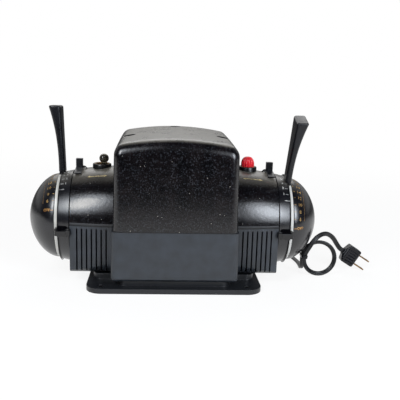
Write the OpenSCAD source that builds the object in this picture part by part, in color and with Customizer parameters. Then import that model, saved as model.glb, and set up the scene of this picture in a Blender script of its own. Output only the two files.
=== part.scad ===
// Twin-control model train transformer: a moulded housing over a laminated core and coil, with
// a dial band and a domed throttle at each end. Millimetres. X runs along the dial axis, the
// front faces -Y, Z is up, and the origin is the middle of the base plate's underside.

/* [Base plate] */
// Length of the base plate
base_w = 204; // [196:1:216]
// Depth of the base plate
base_d = 182; // [178:1:200]
// Height of the base plate's rim
base_h = 6; // [5:0.5:8]
// Corner radius of the base plate
base_r = 18; // [12:1:24]
// Sheet thickness of the base plate
base_sheet = 1.6; // [1:0.1:2.5]
// Height of the raised deck above the rim, which leaves the shadow gap
deck_lift = 6.6; // [5:0.2:9]
// Distance of the mounting holes from the base plate's ends
hole_inset_x = 17; // [13:1:20]
// Distance of the mounting holes from the base plate's front and rear
hole_inset_y = 11; // [9:1:14]
// Diameter of the mounting holes
hole_d = 7; // [5:0.5:9]

/* [Housing] */
// Height of the dial axis above the table
axis_z = 70; // [66:1:76]
// Wall thickness of the mouldings
wall = 3.5; // [2.5:0.1:4.5]
// Distance from the middle to the housing's end faces
end_x = 123; // [118:0.5:128]
// Radius of the barrel next to the hump
barrel_r = 63; // [60:0.5:66]
// Amount that the barrel's radius shrinks towards its end faces
barrel_taper = 6.1; // [3:0.1:8]
// Radius of the wings' lower edges
wing_edge_r = 18; // [12:1:24]
// Half length of the hump at its seam
hump_x = 72; // [68:0.5:76]
// Half depth of the hump and of the box below it
hump_y = 85.5; // [82:0.5:88]
// Height of the hump's top above the dial axis
hump_rise = 107.5; // [98:0.5:116]
// Draft of the hump's ends from its seam to its top
hump_draft = 1.6; // [0.5:0.1:3]
// Fall of the hump's arched top from the middle to its ends
hump_arch = 8; // [5:0.5:10]
// Fall of the hump's top from the middle to its front and rear
hump_crown = 0.8; // [0.4:0.1:1.5]
// Radius of the hump's upright edges
hump_edge_r = 9; // [6:0.5:12]
// Radius of the hump's top edges at its ends
hump_end_r = 11; // [8:0.5:13]
// Radius of the hump's top edges at its front and rear
hump_front_r = 14; // [9:0.5:16]
// Extra half length of the lower box past the hump's seam
box_step = 1.2; // [0.4:0.1:2]
// Chamfer along the lower box's bottom edges
box_chamfer = 3; // [1:0.5:5]
// Number of vent gaps in each wing
gap_count = 7; // [4:1:7]
// Width of a vent gap
gap_w = 1.7; // [1:0.1:2.4]
// Spacing of the vent gaps
gap_pitch = 5.75; // [4.5:0.05:5.9]
// Height of the bead along the cover's lower edge
bead_h = 3.4; // [2:0.1:5]
// Amount that the bead stands proud
bead_t = 1.1; // [0.5:0.1:2]

/* [Dials] */
// Radius of the dome and the light ring
dome_r = 52; // [50:0.5:53]
// Half length over the domes
half_len = 178; // [174:0.5:182]
// Wall thickness of the dome
dome_wall = 3; // [2:0.1:4]
// Thickness of the light ring
ring_t = 3.4; // [2.5:0.1:4.5]
// Length of the dial band
band_len = 14.4; // [12:0.1:16]
// Left handle's rest angle from upright towards the front
left_rest = -3; // [-20:1:60]
// Right handle's rest angle from upright towards the front
right_rest = 17; // [-20:1:60]
// Radius that the handle's tip reaches
handle_reach = 135; // [124:1:136]
// Depth of the handle at its root
handle_root_d = 16; // [12:0.5:18]
// Depth of the handle at its tip
handle_tip_d = 28; // [22:0.5:30]
// Angle of the dial tab from upright towards the front
tab_angle = 102; // [98:1:106]
// Radius of the throttle shaft
shaft_r = 3; // [2.5:0.1:3.5]
// Outer radius of the dial's sleeve
sleeve_r = 6; // [5.5:0.1:6.5]

/* [Direction levers] */
// Distance from the middle to the lever's centre
lever_x = 117.4; // [116.8:0.1:117.6]
// Width of the lever's grip
grip_w = 8; // [6:0.5:9]
// Height of the lever's grip
grip_h = 11; // [8:0.5:14]
// Throw of the lever each way in degrees
lever_throw = 14; // [8:1:16]

/* [Lamps] */
// Distance from the middle to the lamps
lamp_x = 90; // [86:0.5:92]
// Outer radius of the bezels
bezel_r = 11.3; // [10:0.1:12.5]
// Radius of the bezel's hole
bezel_hole_r = 8.2; // [7.8:0.1:9]

/* [Transformer] */
// Half width of the lamination stack
stack_x = 27.5; // [24:0.5:29]
// Half depth of the laminations
core_y = 47.5; // [44:0.5:50]
// Height of the core's underside
core_z = 24; // [22.5:0.5:26]
// Height of the core
core_h = 114; // [110:1:116]
// Width of the winding's bare track from the middle
coil_x = 45.5; // [43:0.5:46.5]
// Half height of the core's middle leg
leg_h = 19; // [17:0.5:20]
// Radius at which the rollers run over the winding
track_r = 24; // [22:0.5:25]
// Radius of the carbon rollers
roller_r = 5; // [4:0.1:5.5]

/* [Hidden] */
$fn = 64;
// Clearances: a running fit, a sliding gap between moving parts, and a cutter's overrun
fit = 0.05;
gap = 0.3;
cut = 1;
// Heights
deck_z = base_h + deck_lift;
floor_z = deck_z + wall;
seam_z = axis_z + 1;
hump_z = axis_z + hump_rise;
// Arch of the hump's top: a circle about an axis along Y
arch_r = pow(hump_x, 2) / (2 * hump_arch) + hump_arch / 2;
arch_z = hump_z - arch_r;
core_mid_z = core_z + core_h / 2;
core_top_z = core_z + core_h;
// Deck under the housing: a long part under the wings crossed by a deep part under the box
deck_inset = 6;
deck_w = base_w - 2 * deck_inset;
deck_wing_inset = 7;
deck_wing_d = 2 * (barrel_r - deck_wing_inset);
deck_box_w = 2 * (hump_x - deck_inset);
deck_box_d = 2 * (hump_y - deck_inset);
deck_r = base_r - 8;
// Lower box: corner radius, and its lining's corner radius
box_r = 6;
box_in_r = 3;
// Vent gaps: distance from the end face to the first one, and the rim left above them
gap_end = 8.5;
gap_rim = 3;
// Barrel: its radius falls with the square of the distance past the hump
barrel_flat = hump_x - 12;
function barrel_at(x) =
    barrel_r - barrel_taper * pow(max(0, abs(x) - barrel_flat) / (end_x - barrel_flat), 2);
barrel_steps = 24;
barrel_step = 2 / barrel_steps;
// Dial stations along the axis
band_x = end_x + gap;
band_end = band_x + band_len;
ring_x = band_end + gap;
dome_x = ring_x + ring_t;
dome_power = 1.82;
flange_t = 3;
flange_r = dome_r - 8;
dome_steps = 16;
// Arms and rollers
roller_x = coil_x + gap + roller_r;
roller_len = 5;
roller_pin_r = 1;
lug_t = 1.5;
lug_w = 6;
outer_plate_x = roller_x + 7;
inner_plate_x = outer_plate_x + 5;
arm_t = 1.6;
outer_lead = -27;
inner_lead = 31.5;
bearing_x = inner_plate_x + 6;
bearing_t = 2;
// Direction levers: the cover's slot, the saddle and grip, and the hook beside the grip
slot_w = 4;
saddle_t = 1.4;
grip_d = 6;
hook_r = 2.6;
hook_wire_r = 0.9;
// Screws, bolts and posts
screw_r = 2;
head_r = 4.4;
sink_r = 6.4;
sink_depth = 5;
boss_h = 5.5;
cover_screw_at = [[-56, -12], [56, -12], [0, 64]];
function seat_at(p) = hump_z - pow(p[0], 2) / (2 * arch_r) - sink_depth;
function boss_at(p) = seat_at(p) - boss_h;
bolt_at = [for (x = [-42, 42], y = [-36, 36]) [x, y]];
frame_t = 2;
// Terminals at the rear
post_count = 5;
post_pitch = 18;
post_z = 42;
opening_x = 46;
opening_h = 24;
board_t = 3;
// Cord: the free route's points, chosen by hand, as [x, y, z]
cord_r = 2.6;
hank_r = 20;
hank_at = [184.5, -10.5, 22.6];
hank_sweep = 385;
hank_shift = 10.5;
tie_a = 172;
coil_at = [98, 150];
cord_coil_r = 36;
cord_coil_h = 23.4;
cord_exit = [60, 85.5, 26];
relief_r = 5;
relief_len = 24;
cord_points = [
    [60, 109.5, 26], [60, 119, 26], [60.5, 130, 24.5], [61.5, 140, 22.4], [62, 150, 20.8]
];
run_points = [
    [134, 150, 2.6], [134.5, 137, 2.6], [138, 122, 2.6], [144, 106, 2.6], [151, 90, 2.6],
    [157.5, 74, 2.6], [162.5, 58, 2.6], [166, 42, 2.6], [167.8, 26, 2.6], [167.8, 16, 2.6],
    [167, 8.5, 2.9], [166, 1.2, 4.6], [165.2, -4.9, 8.6], [164.7, -9.05, 14.9]
];
lead_points = [
    [169.6, -22.6, 38.4], [173.6, -22.6, 45.2], [179, -20.6, 50.6], [185.6, -17, 53.6],
    [192.6, -12.4, 53.4], [199.2, -7.6, 50], [205, -3, 44.7], [209.4, 0.9, 38.8],
    [212.6, 3.3, 34.4], [214.7, 4.3, 31.6], [217.1, 4.9, 29], [219.643, 5, 27.248], [221, 5, 26.4]
];
// Plug: its rear end, its axis down to the right, and its blades
plug_at = [221, 5, 26.4];
plug_tilt = 32;
plug_len = 20;
plug_w = 22;
plug_t = 14;
blade_pitch = 12.7;
blade_len = 17;
blade_w = 6.3;
blade_t = 1.5;

// Helpers
module on_axis() {
    translate([0, 0, axis_z]) rotate([90, 0, 90]) children();
}
module side(s) {
    mirror([s < 0 ? 1 : 0, 0, 0]) children();
}
module rod_x(x0, x1, r) {
    on_axis() translate([0, 0, x0]) cylinder(h = x1 - x0, r = r);
}
module tube_x(x0, x1, r0, r1) {
    difference() {
        rod_x(x0, x1, r1);
        rod_x(x0 - cut, x1 + cut, r0);
    }
}
// A block at radius r0 to r1 from the axis, turned by a degrees from upright to the front
module spoke(a, x0, x1, r0, r1, w) {
    translate([0, 0, axis_z]) rotate([a, 0, 0]) translate([x0, -w / 2, r0])
        cube([x1 - x0, w, r1 - r0]);
}
// A ring segment between two angles from upright to the front
module arc_x(x0, x1, r0, r1, a0, a1) {
    on_axis() translate([0, 0, x0]) rotate([0, 0, 90 + a0]) rotate_extrude(angle = a1 - a0)
        translate([r0, 0]) square([r1 - r0, x1 - x0]);
}
module rounded(w, d, r) {
    square([w - 2 * r, d], center = true);
    square([w, d - 2 * r], center = true);
    for (x = [-1, 1], y = [-1, 1]) translate([x * (w / 2 - r), y * (d / 2 - r)]) circle(r);
}
module slab(w, d, r, z0, z1) {
    translate([0, 0, z0]) linear_extrude(z1 - z0) rounded(w, d, r);
}
module post(x, y, z0, z1, r) {
    translate([x, y, z0]) cylinder(h = z1 - z0, r = r);
}
module block(x0, x1, y0, y1, z0, z1) {
    translate([x0, y0, z0]) cube([x1 - x0, y1 - y0, z1 - z0]);
}

// Base plate: a pressed tray with a raised deck
module deck(inset, z0, z1) {
    slab(deck_w - 2 * inset, deck_wing_d - 2 * inset, deck_r - inset, z0, z1);
    slab(deck_box_w - 2 * inset, deck_box_d - 2 * inset, deck_r - inset, z0, z1);
}
module base_plate() {
    in_w = base_w - 2 * base_sheet;
    in_d = base_d - 2 * base_sheet;
    color("#2A2C2F") difference() {
        union() {
            slab(base_w, base_d, base_r, 0, base_h);
            deck(0, 0, deck_z);
        }
        slab(in_w, in_d, base_r - base_sheet, -cut, base_h - base_sheet);
        deck(base_sheet, -cut, deck_z - base_sheet);
        for (x = [-1, 1], y = [-1, 1])
            post(x * (base_w / 2 - hole_inset_x), y * (base_d / 2 - hole_inset_y),
                -cut, deck_z + cut, hole_d / 2);
        for (p = bolt_at) post(p[0], p[1], -cut, deck_z + cut, screw_r + fit);
    }
}

// Lower housing: wings with vent gaps and a plain box between them
// Outline of the barrel on its front side, as points at even steps along X
function barrel_side(inset) = [for (i = [0 : barrel_steps]) let (x = (end_x - inset) * (i * barrel_step - 1))
    [x, barrel_at(x) - inset]];
module wing_plan(inset) {
    pts = barrel_side(inset);
    polygon(concat(pts, [for (i = [barrel_steps : -1 : 0]) [pts[i][0], -pts[i][1]]]));
}
module lower_wings(inset, top) {
    round_w = 2 * (barrel_r - inset);
    intersection() {
        translate([0, 0, deck_z + inset]) linear_extrude(top - deck_z - inset) wing_plan(inset);
        rotate([90, 0, 90]) translate([0, 0, -end_x]) linear_extrude(2 * end_x)
            translate([0, deck_z + barrel_r]) rounded(round_w, round_w, wing_edge_r - inset);
    }
}
module chamfered_view(half, top) {
    polygon([[-half, top], [-half, deck_z + box_chamfer], [box_chamfer - half, deck_z],
        [half - box_chamfer, deck_z], [half, deck_z + box_chamfer], [half, top]]);
}
module lower_box(top) {
    half = hump_x + box_step;
    intersection() {
        slab(2 * half, 2 * hump_y, box_r, deck_z, top);
        rotate([90, 0, 0]) translate([0, 0, -hump_y]) linear_extrude(2 * hump_y) chamfered_view(half, top);
        rotate([90, 0, 90]) translate([0, 0, -half]) linear_extrude(2 * half) chamfered_view(hump_y, top);
    }
}
module vent_gaps() {
    for (s = [-1, 1], i = [0 : gap_count - 1]) {
        x = s * (end_x - gap_end - i * gap_pitch);
        block(x - gap_w / 2, x + gap_w / 2, -barrel_r - cut, -barrel_r / 2, floor_z + 1, seam_z - gap_rim);
    }
}
module terminal_opening() {
    low = post_z - opening_h / 2;
    block(-opening_x, opening_x, hump_y - wall - cut, hump_y + cut, low, low + opening_h);
}
module lower_housing() {
    end_r = barrel_at(end_x);
    color("#2B2C2E") difference() {
        union() {
            lower_wings(0, seam_z);
            lower_box(seam_z);
        }
        lower_wings(wall, seam_z + cut);
        slab(2 * (hump_x + box_step - wall), 2 * (hump_y - wall), box_in_r, floor_z, seam_z + cut);
        vent_gaps();
        rod_x(-end_x - cut, end_x + cut, sleeve_r + fit);
        terminal_opening();
        translate([cord_exit[0], hump_y + cut, cord_exit[2]]) rotate([90, 0, 0])
            cylinder(h = wall + 2 * cut, r = relief_r);
        for (p = bolt_at) post(p[0], p[1], deck_z - cut, floor_z + cut, screw_r + fit);
        for (s = [-1, 1]) side(s)
            arc_x(end_x - wall - cut, end_x + cut, end_r - 6, end_r + cut, tab_angle - 4, tab_angle + 4);
    }
}

// Upper cover: a barrel crossed by the hump, open below
module barrel(inset) {
    rotate([0, 90, 0]) rotate_extrude($fn = 128) polygon(concat([[0, inset - end_x]],
        [for (p = barrel_side(inset)) [p[1], p[0]]], [[0, end_x - inset]]));
}
// Outline of the hump from the front: sides with draft, round shoulders and an arched top
crown_steps = 6;
function hump_view(inset) = let (
    r = hump_end_r - inset, w = hump_x - inset, big = arch_r - inset,
    mid_x = w - hump_draft - r, mid_z = sqrt(pow(big - r, 2) - pow(mid_x, 2)), turn = atan2(mid_z, mid_x),
    shoulder = [for (i = [0 : crown_steps]) let (a = turn * i / crown_steps)
        [mid_x + r * cos(a), arch_z + mid_z + r * sin(a)]],
    arch = [for (i = [1 : crown_steps]) let (a = turn + (90 - turn) * i / crown_steps)
        [big * cos(a), arch_z + big * sin(a)]],
    right = concat([[w, 0]], shoulder, arch))
    concat(right, [for (i = [len(right) - 2 : -1 : 0]) [-right[i][0], right[i][1]]]);
// Outline of the hump from its end, measured from the arch's axis: it is turned about that axis
function hump_turned(inset) = let (
    r = hump_front_r - inset, w = hump_y - inset,
    top = arch_r - hump_crown - inset, mid_y = w - hump_draft - r,
    shoulder = [for (i = [0 : crown_steps]) let (a = 84 * i / crown_steps)
        [top - r + r * sin(a), mid_y + r * cos(a)]],
    crown = [for (i = [1 : crown_steps]) let (u = 1 - i / crown_steps)
        [top + hump_crown * (1 - u * u), mid_y * u]],
    right = concat([[axis_z, w], [arch_r - hump_rise, w]], shoulder, crown))
    concat(right, [for (i = [len(right) - 2 : -1 : 0]) [right[i][0], -right[i][1]]]);
module hump(inset) {
    intersection() {
        slab(2 * (hump_x - inset), 2 * (hump_y - inset), hump_edge_r - inset, 0, hump_z);
        rotate([90, 0, 0]) translate([0, 0, -hump_y]) linear_extrude(2 * hump_y) polygon(hump_view(inset));
        translate([0, 0, arch_z]) rotate([90, 0, 0]) rotate_extrude($fn = 256) polygon(hump_turned(inset));
    }
}
module seam_bead() {
    intersection() {
        translate([0, 0, seam_z]) linear_extrude(bead_h) wing_plan(-bead_t);
        block(-end_x, end_x, -hump_y, hump_y, seam_z - cut, seam_z + bead_h + cut);
    }
}
module upper_cover() {
    color("#1B1B1D") difference() {
        union() {
            difference() {
                union() {
                    translate([0, 0, axis_z]) barrel(0);
                    seam_bead();
                    hump(0);
                }
                translate([0, 0, axis_z]) barrel(wall);
                hump(wall);
            }
            for (p = cover_screw_at) post(p[0], p[1], boss_at(p), seat_at(p) + 3.1, sink_r + 2);
        }
        block(-end_x - cut, end_x + cut, -hump_y - cut, hump_y + cut, -cut, seam_z);
        for (p = cover_screw_at) {
            post(p[0], p[1], seat_at(p), hump_z + cut, sink_r);
            post(p[0], p[1], boss_at(p) - cut, seat_at(p) + cut, screw_r + gap);
        }
        rod_x(-end_x - cut, end_x + cut, sleeve_r + fit);
        for (s = [-1, 1]) {
            post(s * lamp_x, 0, axis_z + 40, hump_z, bezel_r + fit);
            side(s) arc_x(lever_x - slot_w / 2, lever_x + slot_w / 2, barrel_r - 14, barrel_r + 2,
                -lever_throw - 4, lever_throw + 4);
        }
    }
}
module cover_screws() {
    color("#8A8678") for (p = cover_screw_at) difference() {
        union() {
            post(p[0], p[1], seat_at(p), seat_at(p) + 2.6, head_r);
            post(p[0], p[1], boss_at(p) - 12, seat_at(p), screw_r);
        }
        translate([p[0], p[1], seat_at(p) + 2.4]) cube([2 * head_r + cut, 1.1, 1.6], center = true);
    }
}

// Core, winding and their steelwork
module laminated_core() {
    color("#55575A") difference() {
        block(-stack_x, stack_x, -core_y, core_y, core_z, core_top_z);
        for (s = [-1, 1])
            translate([-stack_x - cut, leg_h - core_y, core_mid_z + s * 1.5 * leg_h - leg_h / 2])
            cube([2 * (stack_x + cut), 2 * (core_y - leg_h), leg_h]);
    }
}
coil_half_y = core_y - leg_h - 1.5;
former_t = 1.4;
coil_half_z = 2 * leg_h - 0.5;
module coil_ring(x0, z0, x1, z1, y0, y1) {
    difference() {
        block(-x1, x1, y0, y1, core_mid_z - z1, core_mid_z + z1);
        block(-x0, x0, y0 - cut, y1 + cut, core_mid_z - z0, core_mid_z + z0);
    }
}
module coil_former() {
    in_x = stack_x + fit;
    in_z = leg_h + fit;
    color("#6B5138") {
        coil_ring(in_x, in_z, in_x + former_t, in_z + former_t, -coil_half_y, coil_half_y);
        for (y = [-coil_half_y - former_t, coil_half_y])
            coil_ring(in_x, in_z, coil_x - 0.5, coil_half_z, y, y + former_t);
    }
}
module coil() {
    in_x = stack_x + fit + former_t;
    in_z = leg_h + fit + former_t;
    color("#B06A3A") coil_ring(in_x, in_z, coil_x, coil_half_z - 0.5, -coil_half_y, coil_half_y);
}
cradle_t = 2;
module core_cradle() {
    out = stack_x + cradle_t;
    color("#6E7276") difference() {
        union() {
            block(-out, out, -core_y, core_y, core_z - cradle_t, core_z);
            for (s = [-1, 1]) side(s) {
                block(stack_x, out, -core_y, core_y, floor_z, core_z + 12);
                block(stack_x, stack_x + 22, -core_y, core_y, floor_z, floor_z + cradle_t);
            }
        }
        for (p = bolt_at) post(p[0], p[1], floor_z - cut, floor_z + cradle_t + cut, screw_r + fit);
    }
}
module core_bolts() {
    color("#8E9296") for (p = bolt_at) {
        translate([p[0], p[1], deck_z - base_sheet - 2.6]) cylinder(h = 2.6, r = head_r, $fn = 6);
        post(p[0], p[1], deck_z - base_sheet, floor_z + cradle_t + 5, screw_r);
        translate([p[0], p[1], floor_z + cradle_t]) difference() {
            cylinder(h = 3, r = head_r, $fn = 6);
            translate([0, 0, -cut]) cylinder(h = 3 + 2 * cut, r = screw_r);
        }
    }
}
module top_frame() {
    half = cover_screw_at[1][0] + 7;
    front = cover_screw_at[0][1] - 8;
    rear = cover_screw_at[2][1] + 8;
    color("#6E7276") difference() {
        union() {
            block(-half, half, front, rear, core_top_z, core_top_z + frame_t);
            for (p = cover_screw_at) post(p[0], p[1], core_top_z + frame_t, boss_at(p), screw_r + 2);
        }
        for (p = cover_screw_at) post(p[0], p[1], boss_at(p) - 14, boss_at(p) + cut, screw_r + fit);
    }
}
module bearing_plate(s) {
    color("#777B7F") side(s) difference() {
        union() {
            block(bearing_x, bearing_x + bearing_t, -20, 20, floor_z, axis_z + 14);
            block(bearing_x, bearing_x + 14, -20, 20, floor_z, floor_z + bearing_t);
        }
        rod_x(bearing_x - cut, bearing_x + bearing_t + cut, sleeve_r + fit);
    }
}

// Lamps in the cover
bezel_z = axis_z + 66;
socket_z = axis_z + 38;
module bezel(s) {
    color("#242426") difference() {
        post(s * lamp_x, 0, axis_z + 55, bezel_z, bezel_r);
        post(s * lamp_x, 0, axis_z + 55 - cut, bezel_z + cut, bezel_hole_r);
    }
}
module lamp_socket(s) {
    color("#B79A5B") difference() {
        post(s * lamp_x, 0, socket_z, bezel_z - 7, bezel_hole_r - fit);
        post(s * lamp_x, 0, socket_z + 2, bezel_z + cut, bezel_hole_r - 1.2);
    }
}
bulb_r = 5.8;
module lamp(s, top, lean) {
    base = socket_z + 2;
    color("#D9D6CC") {
        post(s * lamp_x, 0, base, base + 14, 4.6);
        post(s * lamp_x, 0, base + 14, top - bulb_r, 3.4);
        translate([s * lamp_x + lean, 0, top - bulb_r]) sphere(bulb_r);
    }
}
lens_top = bezel_z + 12.6;
module red_lens() {
    r = bezel_hole_r - fit;
    color("#C4262E") translate([lamp_x, 0, bezel_z - 4]) rotate_extrude() difference() {
        union() {
            square([r, 8]);
            intersection() {
                translate([0, 8]) circle(r);
                square([r + cut, 40]);
            }
        }
        translate([0, -cut]) square([r - 1.6, 8]);
        translate([0, 7]) circle(r - 1.6);
        translate([-2 * r, -2 * r]) square([2 * r, 6 * r]);
    }
}

// Terminals, breaker and rectifier
module terminal_board() {
    color("#5A3A26") difference() {
        block(-opening_x - 6, opening_x + 6, hump_y - wall - board_t, hump_y - wall,
            post_z - opening_h / 2 - 5, post_z + opening_h / 2 + 5);
        for (i = [0 : post_count - 1])
            post_at(i) translate([0, 0, -20]) cylinder(h = 40, r = screw_r + fit);
    }
}
module post_at(i) {
    translate([(i - (post_count - 1) / 2) * post_pitch, hump_y - wall, post_z])
        rotate([-90, 0, 0]) children();
}
module binding_posts() {
    color("#C2A25A") for (i = [0 : post_count - 1]) post_at(i) {
        translate([0, 0, -board_t - 7]) cylinder(h = board_t + 7 + 8, r = screw_r);
        translate([0, 0, -board_t - 3]) difference() {
            cylinder(h = 3, r = 4, $fn = 6);
            translate([0, 0, -cut]) cylinder(h = 5, r = screw_r);
        }
    }
}
module thumb_nuts() {
    color("#C9CBCD") for (i = [0 : post_count - 1]) post_at(i) difference() {
        union() {
            cylinder(h = 1.2, r = 4);
            translate([0, 0, 1.2]) cylinder(h = 4.6, r = 5.2);
        }
        translate([0, 0, -cut]) cylinder(h = 8, r = screw_r + fit);
    }
}
// Circuit breaker: its place and size
breaker_x = -opening_x - 18;
breaker_y = hump_y - 30;
breaker_w = 24;
breaker_h = 24;
module circuit_breaker() {
    color("#3A2C22") {
        block(breaker_x, breaker_x + breaker_w, breaker_y, breaker_y + 18, floor_z, floor_z + breaker_h);
        for (x = [breaker_x + 4, breaker_x + breaker_w - 6])
            block(x, x + 3, breaker_y + 6, breaker_y + 12, floor_z + breaker_h, floor_z + breaker_h + 6);
    }
}
module rectifier_stack() {
    color("#8A4B2E") translate([0, -66, floor_z]) {
        for (x = [-30, 30]) translate([x - 1, -8, 0]) cube([2, 16, 26]);
        translate([-34, 0, 18]) rotate([0, 90, 0]) cylinder(h = 68, r = 2);
        for (i = [0 : 6])
            translate([-18 + i * 6 - 0.75, 0, 18]) rotate([0, 90, 0]) cylinder(h = 1.5, r = 12);
        translate([-22, 0, 18]) rotate([0, 90, 0]) cylinder(h = 44, r = 4);
    }
}

// Throttle: dome, light ring, handle, shaft and outer contact arm
function dome_point(i, inset) = let (u = 90 * i / dome_steps)
    [(dome_r - inset) * pow(cos(u), 2 / dome_power),
     dome_x + (half_len - dome_x - inset) * pow(sin(u), 2 / dome_power)];
module dial_dome(s) {
    outer = concat([for (i = [0 : dome_steps - 1]) dome_point(i, 0)], [[0, half_len]]);
    inner = concat([[0, half_len - dome_wall]],
        [for (i = [dome_steps - 1 : -1 : 0])
            let (p = dome_point(i, dome_wall)) if (p[1] > dome_x + flange_t) p],
        [[flange_r, dome_x + flange_t], [flange_r, dome_x]]);
    color("#1D1D20") side(s) difference() {
        union() {
            on_axis() rotate_extrude($fn = 128) polygon(concat(outer, inner));
            rod_x(dome_x + flange_t, half_len - dome_wall, 8);
        }
        rod_x(dome_x - cut, half_len - 8, shaft_r + fit / 5);
    }
}
module light_ring(s, a) {
    color("#E8E8E6") side(s) difference() {
        tube_x(ring_x, dome_x, flange_r + 1, dome_r);
        spoke(a, ring_x - cut, dome_x + cut, flange_r - 4, dome_r + 4, handle_root_d + 1);
    }
}
handle_steps = 5;
handle_in = ring_x - 2.6;
root_r = 55;
// Handle section at a share t of its length: radius, inner face, outer face and depth
function handle_at(t) = [root_r + t * (handle_reach - root_r), handle_in + 4.8 * t,
    dome_x + 0.6 + 11 * pow(t, 2.2), handle_root_d + (handle_tip_d - handle_root_d) * pow(t, 1.2)];
module handle_section(t) {
    p = handle_at(t);
    for (x = [p[1] + 1.2, p[2] - 1.2], y = [-1, 1])
        translate([x, y * (p[3] / 2 - 1.2), p[0] - 0.05]) cylinder(h = 0.1, r = 1.2, $fn = 16);
}
module throttle_handle(s, a) {
    color("#1F1F22") side(s) {
        translate([0, 0, axis_z]) rotate([a, 0, 0]) for (i = [0 : handle_steps - 1]) hull() {
            handle_section(i / handle_steps);
            handle_section((i + 1) / handle_steps);
        }
        spoke(a, ring_x, dome_x, flange_r + 1, root_r + 1, handle_root_d);
    }
}
module throttle_shaft(s) {
    color("#9DA1A5") side(s) rod_x(outer_plate_x - 4, half_len - 9, shaft_r);
}
// Contact arm: a hub, a flat arm and a fork whose pin carries the roller
module contact_arm(a, plate, hub_r, bore) {
    reach = track_r + roller_len / 2 + 1;
    near = track_r - roller_len / 2 - 1 - lug_t;
    hub_end = plate + arm_t + 0.4;
    color("#A9803C") difference() {
        union() {
            rod_x(plate - 2, hub_end, hub_r);
            spoke(a, plate, plate + arm_t, bore + 1, reach + lug_t, lug_w);
            for (r = [near, reach]) spoke(a, roller_x - 2, plate + arm_t / 2, r, r + lug_t, lug_w - 0.6);
            translate([0, 0, axis_z]) rotate([a, 0, 0]) translate([roller_x, 0, near + lug_t / 2])
                cylinder(h = reach - near, r = roller_pin_r, $fn = 32);
        }
        rod_x(plate - 2 - cut, hub_end + cut, bore);
    }
}
module outer_arm(s, a) {
    side(s) contact_arm(a + outer_lead, outer_plate_x, shaft_r + 4, shaft_r + fit / 5);
}
module inner_arm(s) {
    side(s) contact_arm(tab_angle + inner_lead, inner_plate_x, sleeve_r + 3, sleeve_r + fit / 5);
}
module roller(s, a) {
    color("#2E2E30") side(s) translate([0, 0, axis_z]) rotate([a, 0, 0])
        translate([roller_x, 0, track_r - roller_len / 2]) difference() {
            cylinder(h = roller_len, r = roller_r);
            translate([0, 0, -cut]) cylinder(h = roller_len + 2 * cut, r = roller_pin_r + fit);
        }
}

// Dial band with its tab, on a sleeve around the shaft
module dial_band(s) {
    web = 3;
    steps = 6;
    outer = [for (i = [0 : steps]) let (x = band_x + i * band_len / steps) [barrel_at(x), x]];
    color("#1A1A1C") side(s) difference() {
        union() {
            on_axis() rotate_extrude($fn = 128) polygon(concat([[barrel_at(band_x) - 3, band_x]], outer,
                [[sleeve_r, band_end], [sleeve_r, band_end - web],
                [barrel_at(band_end) - 3, band_end - web]]));
            spoke(tab_angle, band_x + 2.4, band_end - 0.2, barrel_at(band_end) - 2, barrel_r - 3.4, 12);
            spoke(tab_angle, band_end - 0.3, ring_x + 2.4, dome_r + 2 * gap, barrel_r - 3.4, 9);
        }
        rod_x(band_end - web - cut, band_end + cut, sleeve_r + fit / 5);
    }
}
module dial_sleeve(s) {
    color("#B5964F") side(s) tube_x(inner_plate_x - 2, band_end, shaft_r + fit, sleeve_r);
}

// Direction lever: a hub on the sleeve, a stem through the cover's slot, a saddle and a grip
module direction_lever(s) {
    stem_w = slot_w - 1;
    saddle_r = barrel_at(lever_x - 4.6) + gap;
    saddle_top = saddle_r + saddle_t;
    inboard = lever_x - grip_w / 2;
    color("#202124") side(s) {
        tube_x(lever_x - stem_w, lever_x + stem_w / 2, sleeve_r + fit, sleeve_r + 3);
        spoke(0, lever_x - stem_w / 2, lever_x + stem_w / 2, sleeve_r + 2.5, saddle_r + 0.5, 4);
        arc_x(lever_x - 4.2, lever_x + 4.4, saddle_r, saddle_top, -20, 20);
        spoke(0, inboard, lever_x + grip_w / 2, saddle_r + 1, saddle_top + grip_h, grip_d);
        translate([inboard - hook_r, 0, axis_z + saddle_top + 2]) rotate([90, 0, 0])
            rotate_extrude(angle = 180, $fn = 32) translate([hook_r, 0]) circle(hook_wire_r);
        for (x = [0, -2 * hook_r]) translate([inboard + x, 0, axis_z + saddle_r + 0.8])
            cylinder(h = 2.6, r = hook_wire_r, $fn = 32);
    }
}

// Cord, hank and plug
function unit(v) = v / norm(v);
function ring_dir(pts, i) = unit(pts[min(i + 1, len(pts) - 1)] - pts[max(i - 1, 0)]);
// A point of the hank's open turn: an upright circle whose strand moves towards the front
function hank_point(turned) = [
    hank_at[0] - hank_r * cos(turned),
    hank_at[1] - hank_shift * turned / hank_sweep,
    hank_at[2] + hank_r * sin(turned)
];
hank_points = [for (i = [0 : 19]) hank_point(hank_sweep * i / 19)];
module swept_tube(pts, r, sides, level) {
    n = len(pts);
    rings = [for (i = [0 : n - 1]) let (d = ring_dir(pts, i), u = unit(cross(d, level)), v = cross(d, u))
        for (k = [0 : sides - 1]) pts[i] + r * (cos(360 * k / sides) * u + sin(360 * k / sides) * v)];
    walls = [for (i = [0 : n - 2], k = [0 : sides - 1]) let (k1 = (k + 1) % sides)
        [i * sides + k, (i + 1) * sides + k, (i + 1) * sides + k1, i * sides + k1]];
    polyhedron(rings, concat([[for (k = [0 : sides - 1]) k]], walls,
        [[for (k = [sides - 1 : -1 : 0]) (n - 1) * sides + k]]), convexity = 10);
}
module power_cord() {
    color("#101012") swept_tube(cord_points, cord_r, 8, [1, 0, 0]);
}
module cord_run() {
    color("#101012") swept_tube(concat(run_points, [hank_points[0]]), cord_r, 8, [1, 0, 0]);
}
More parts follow.
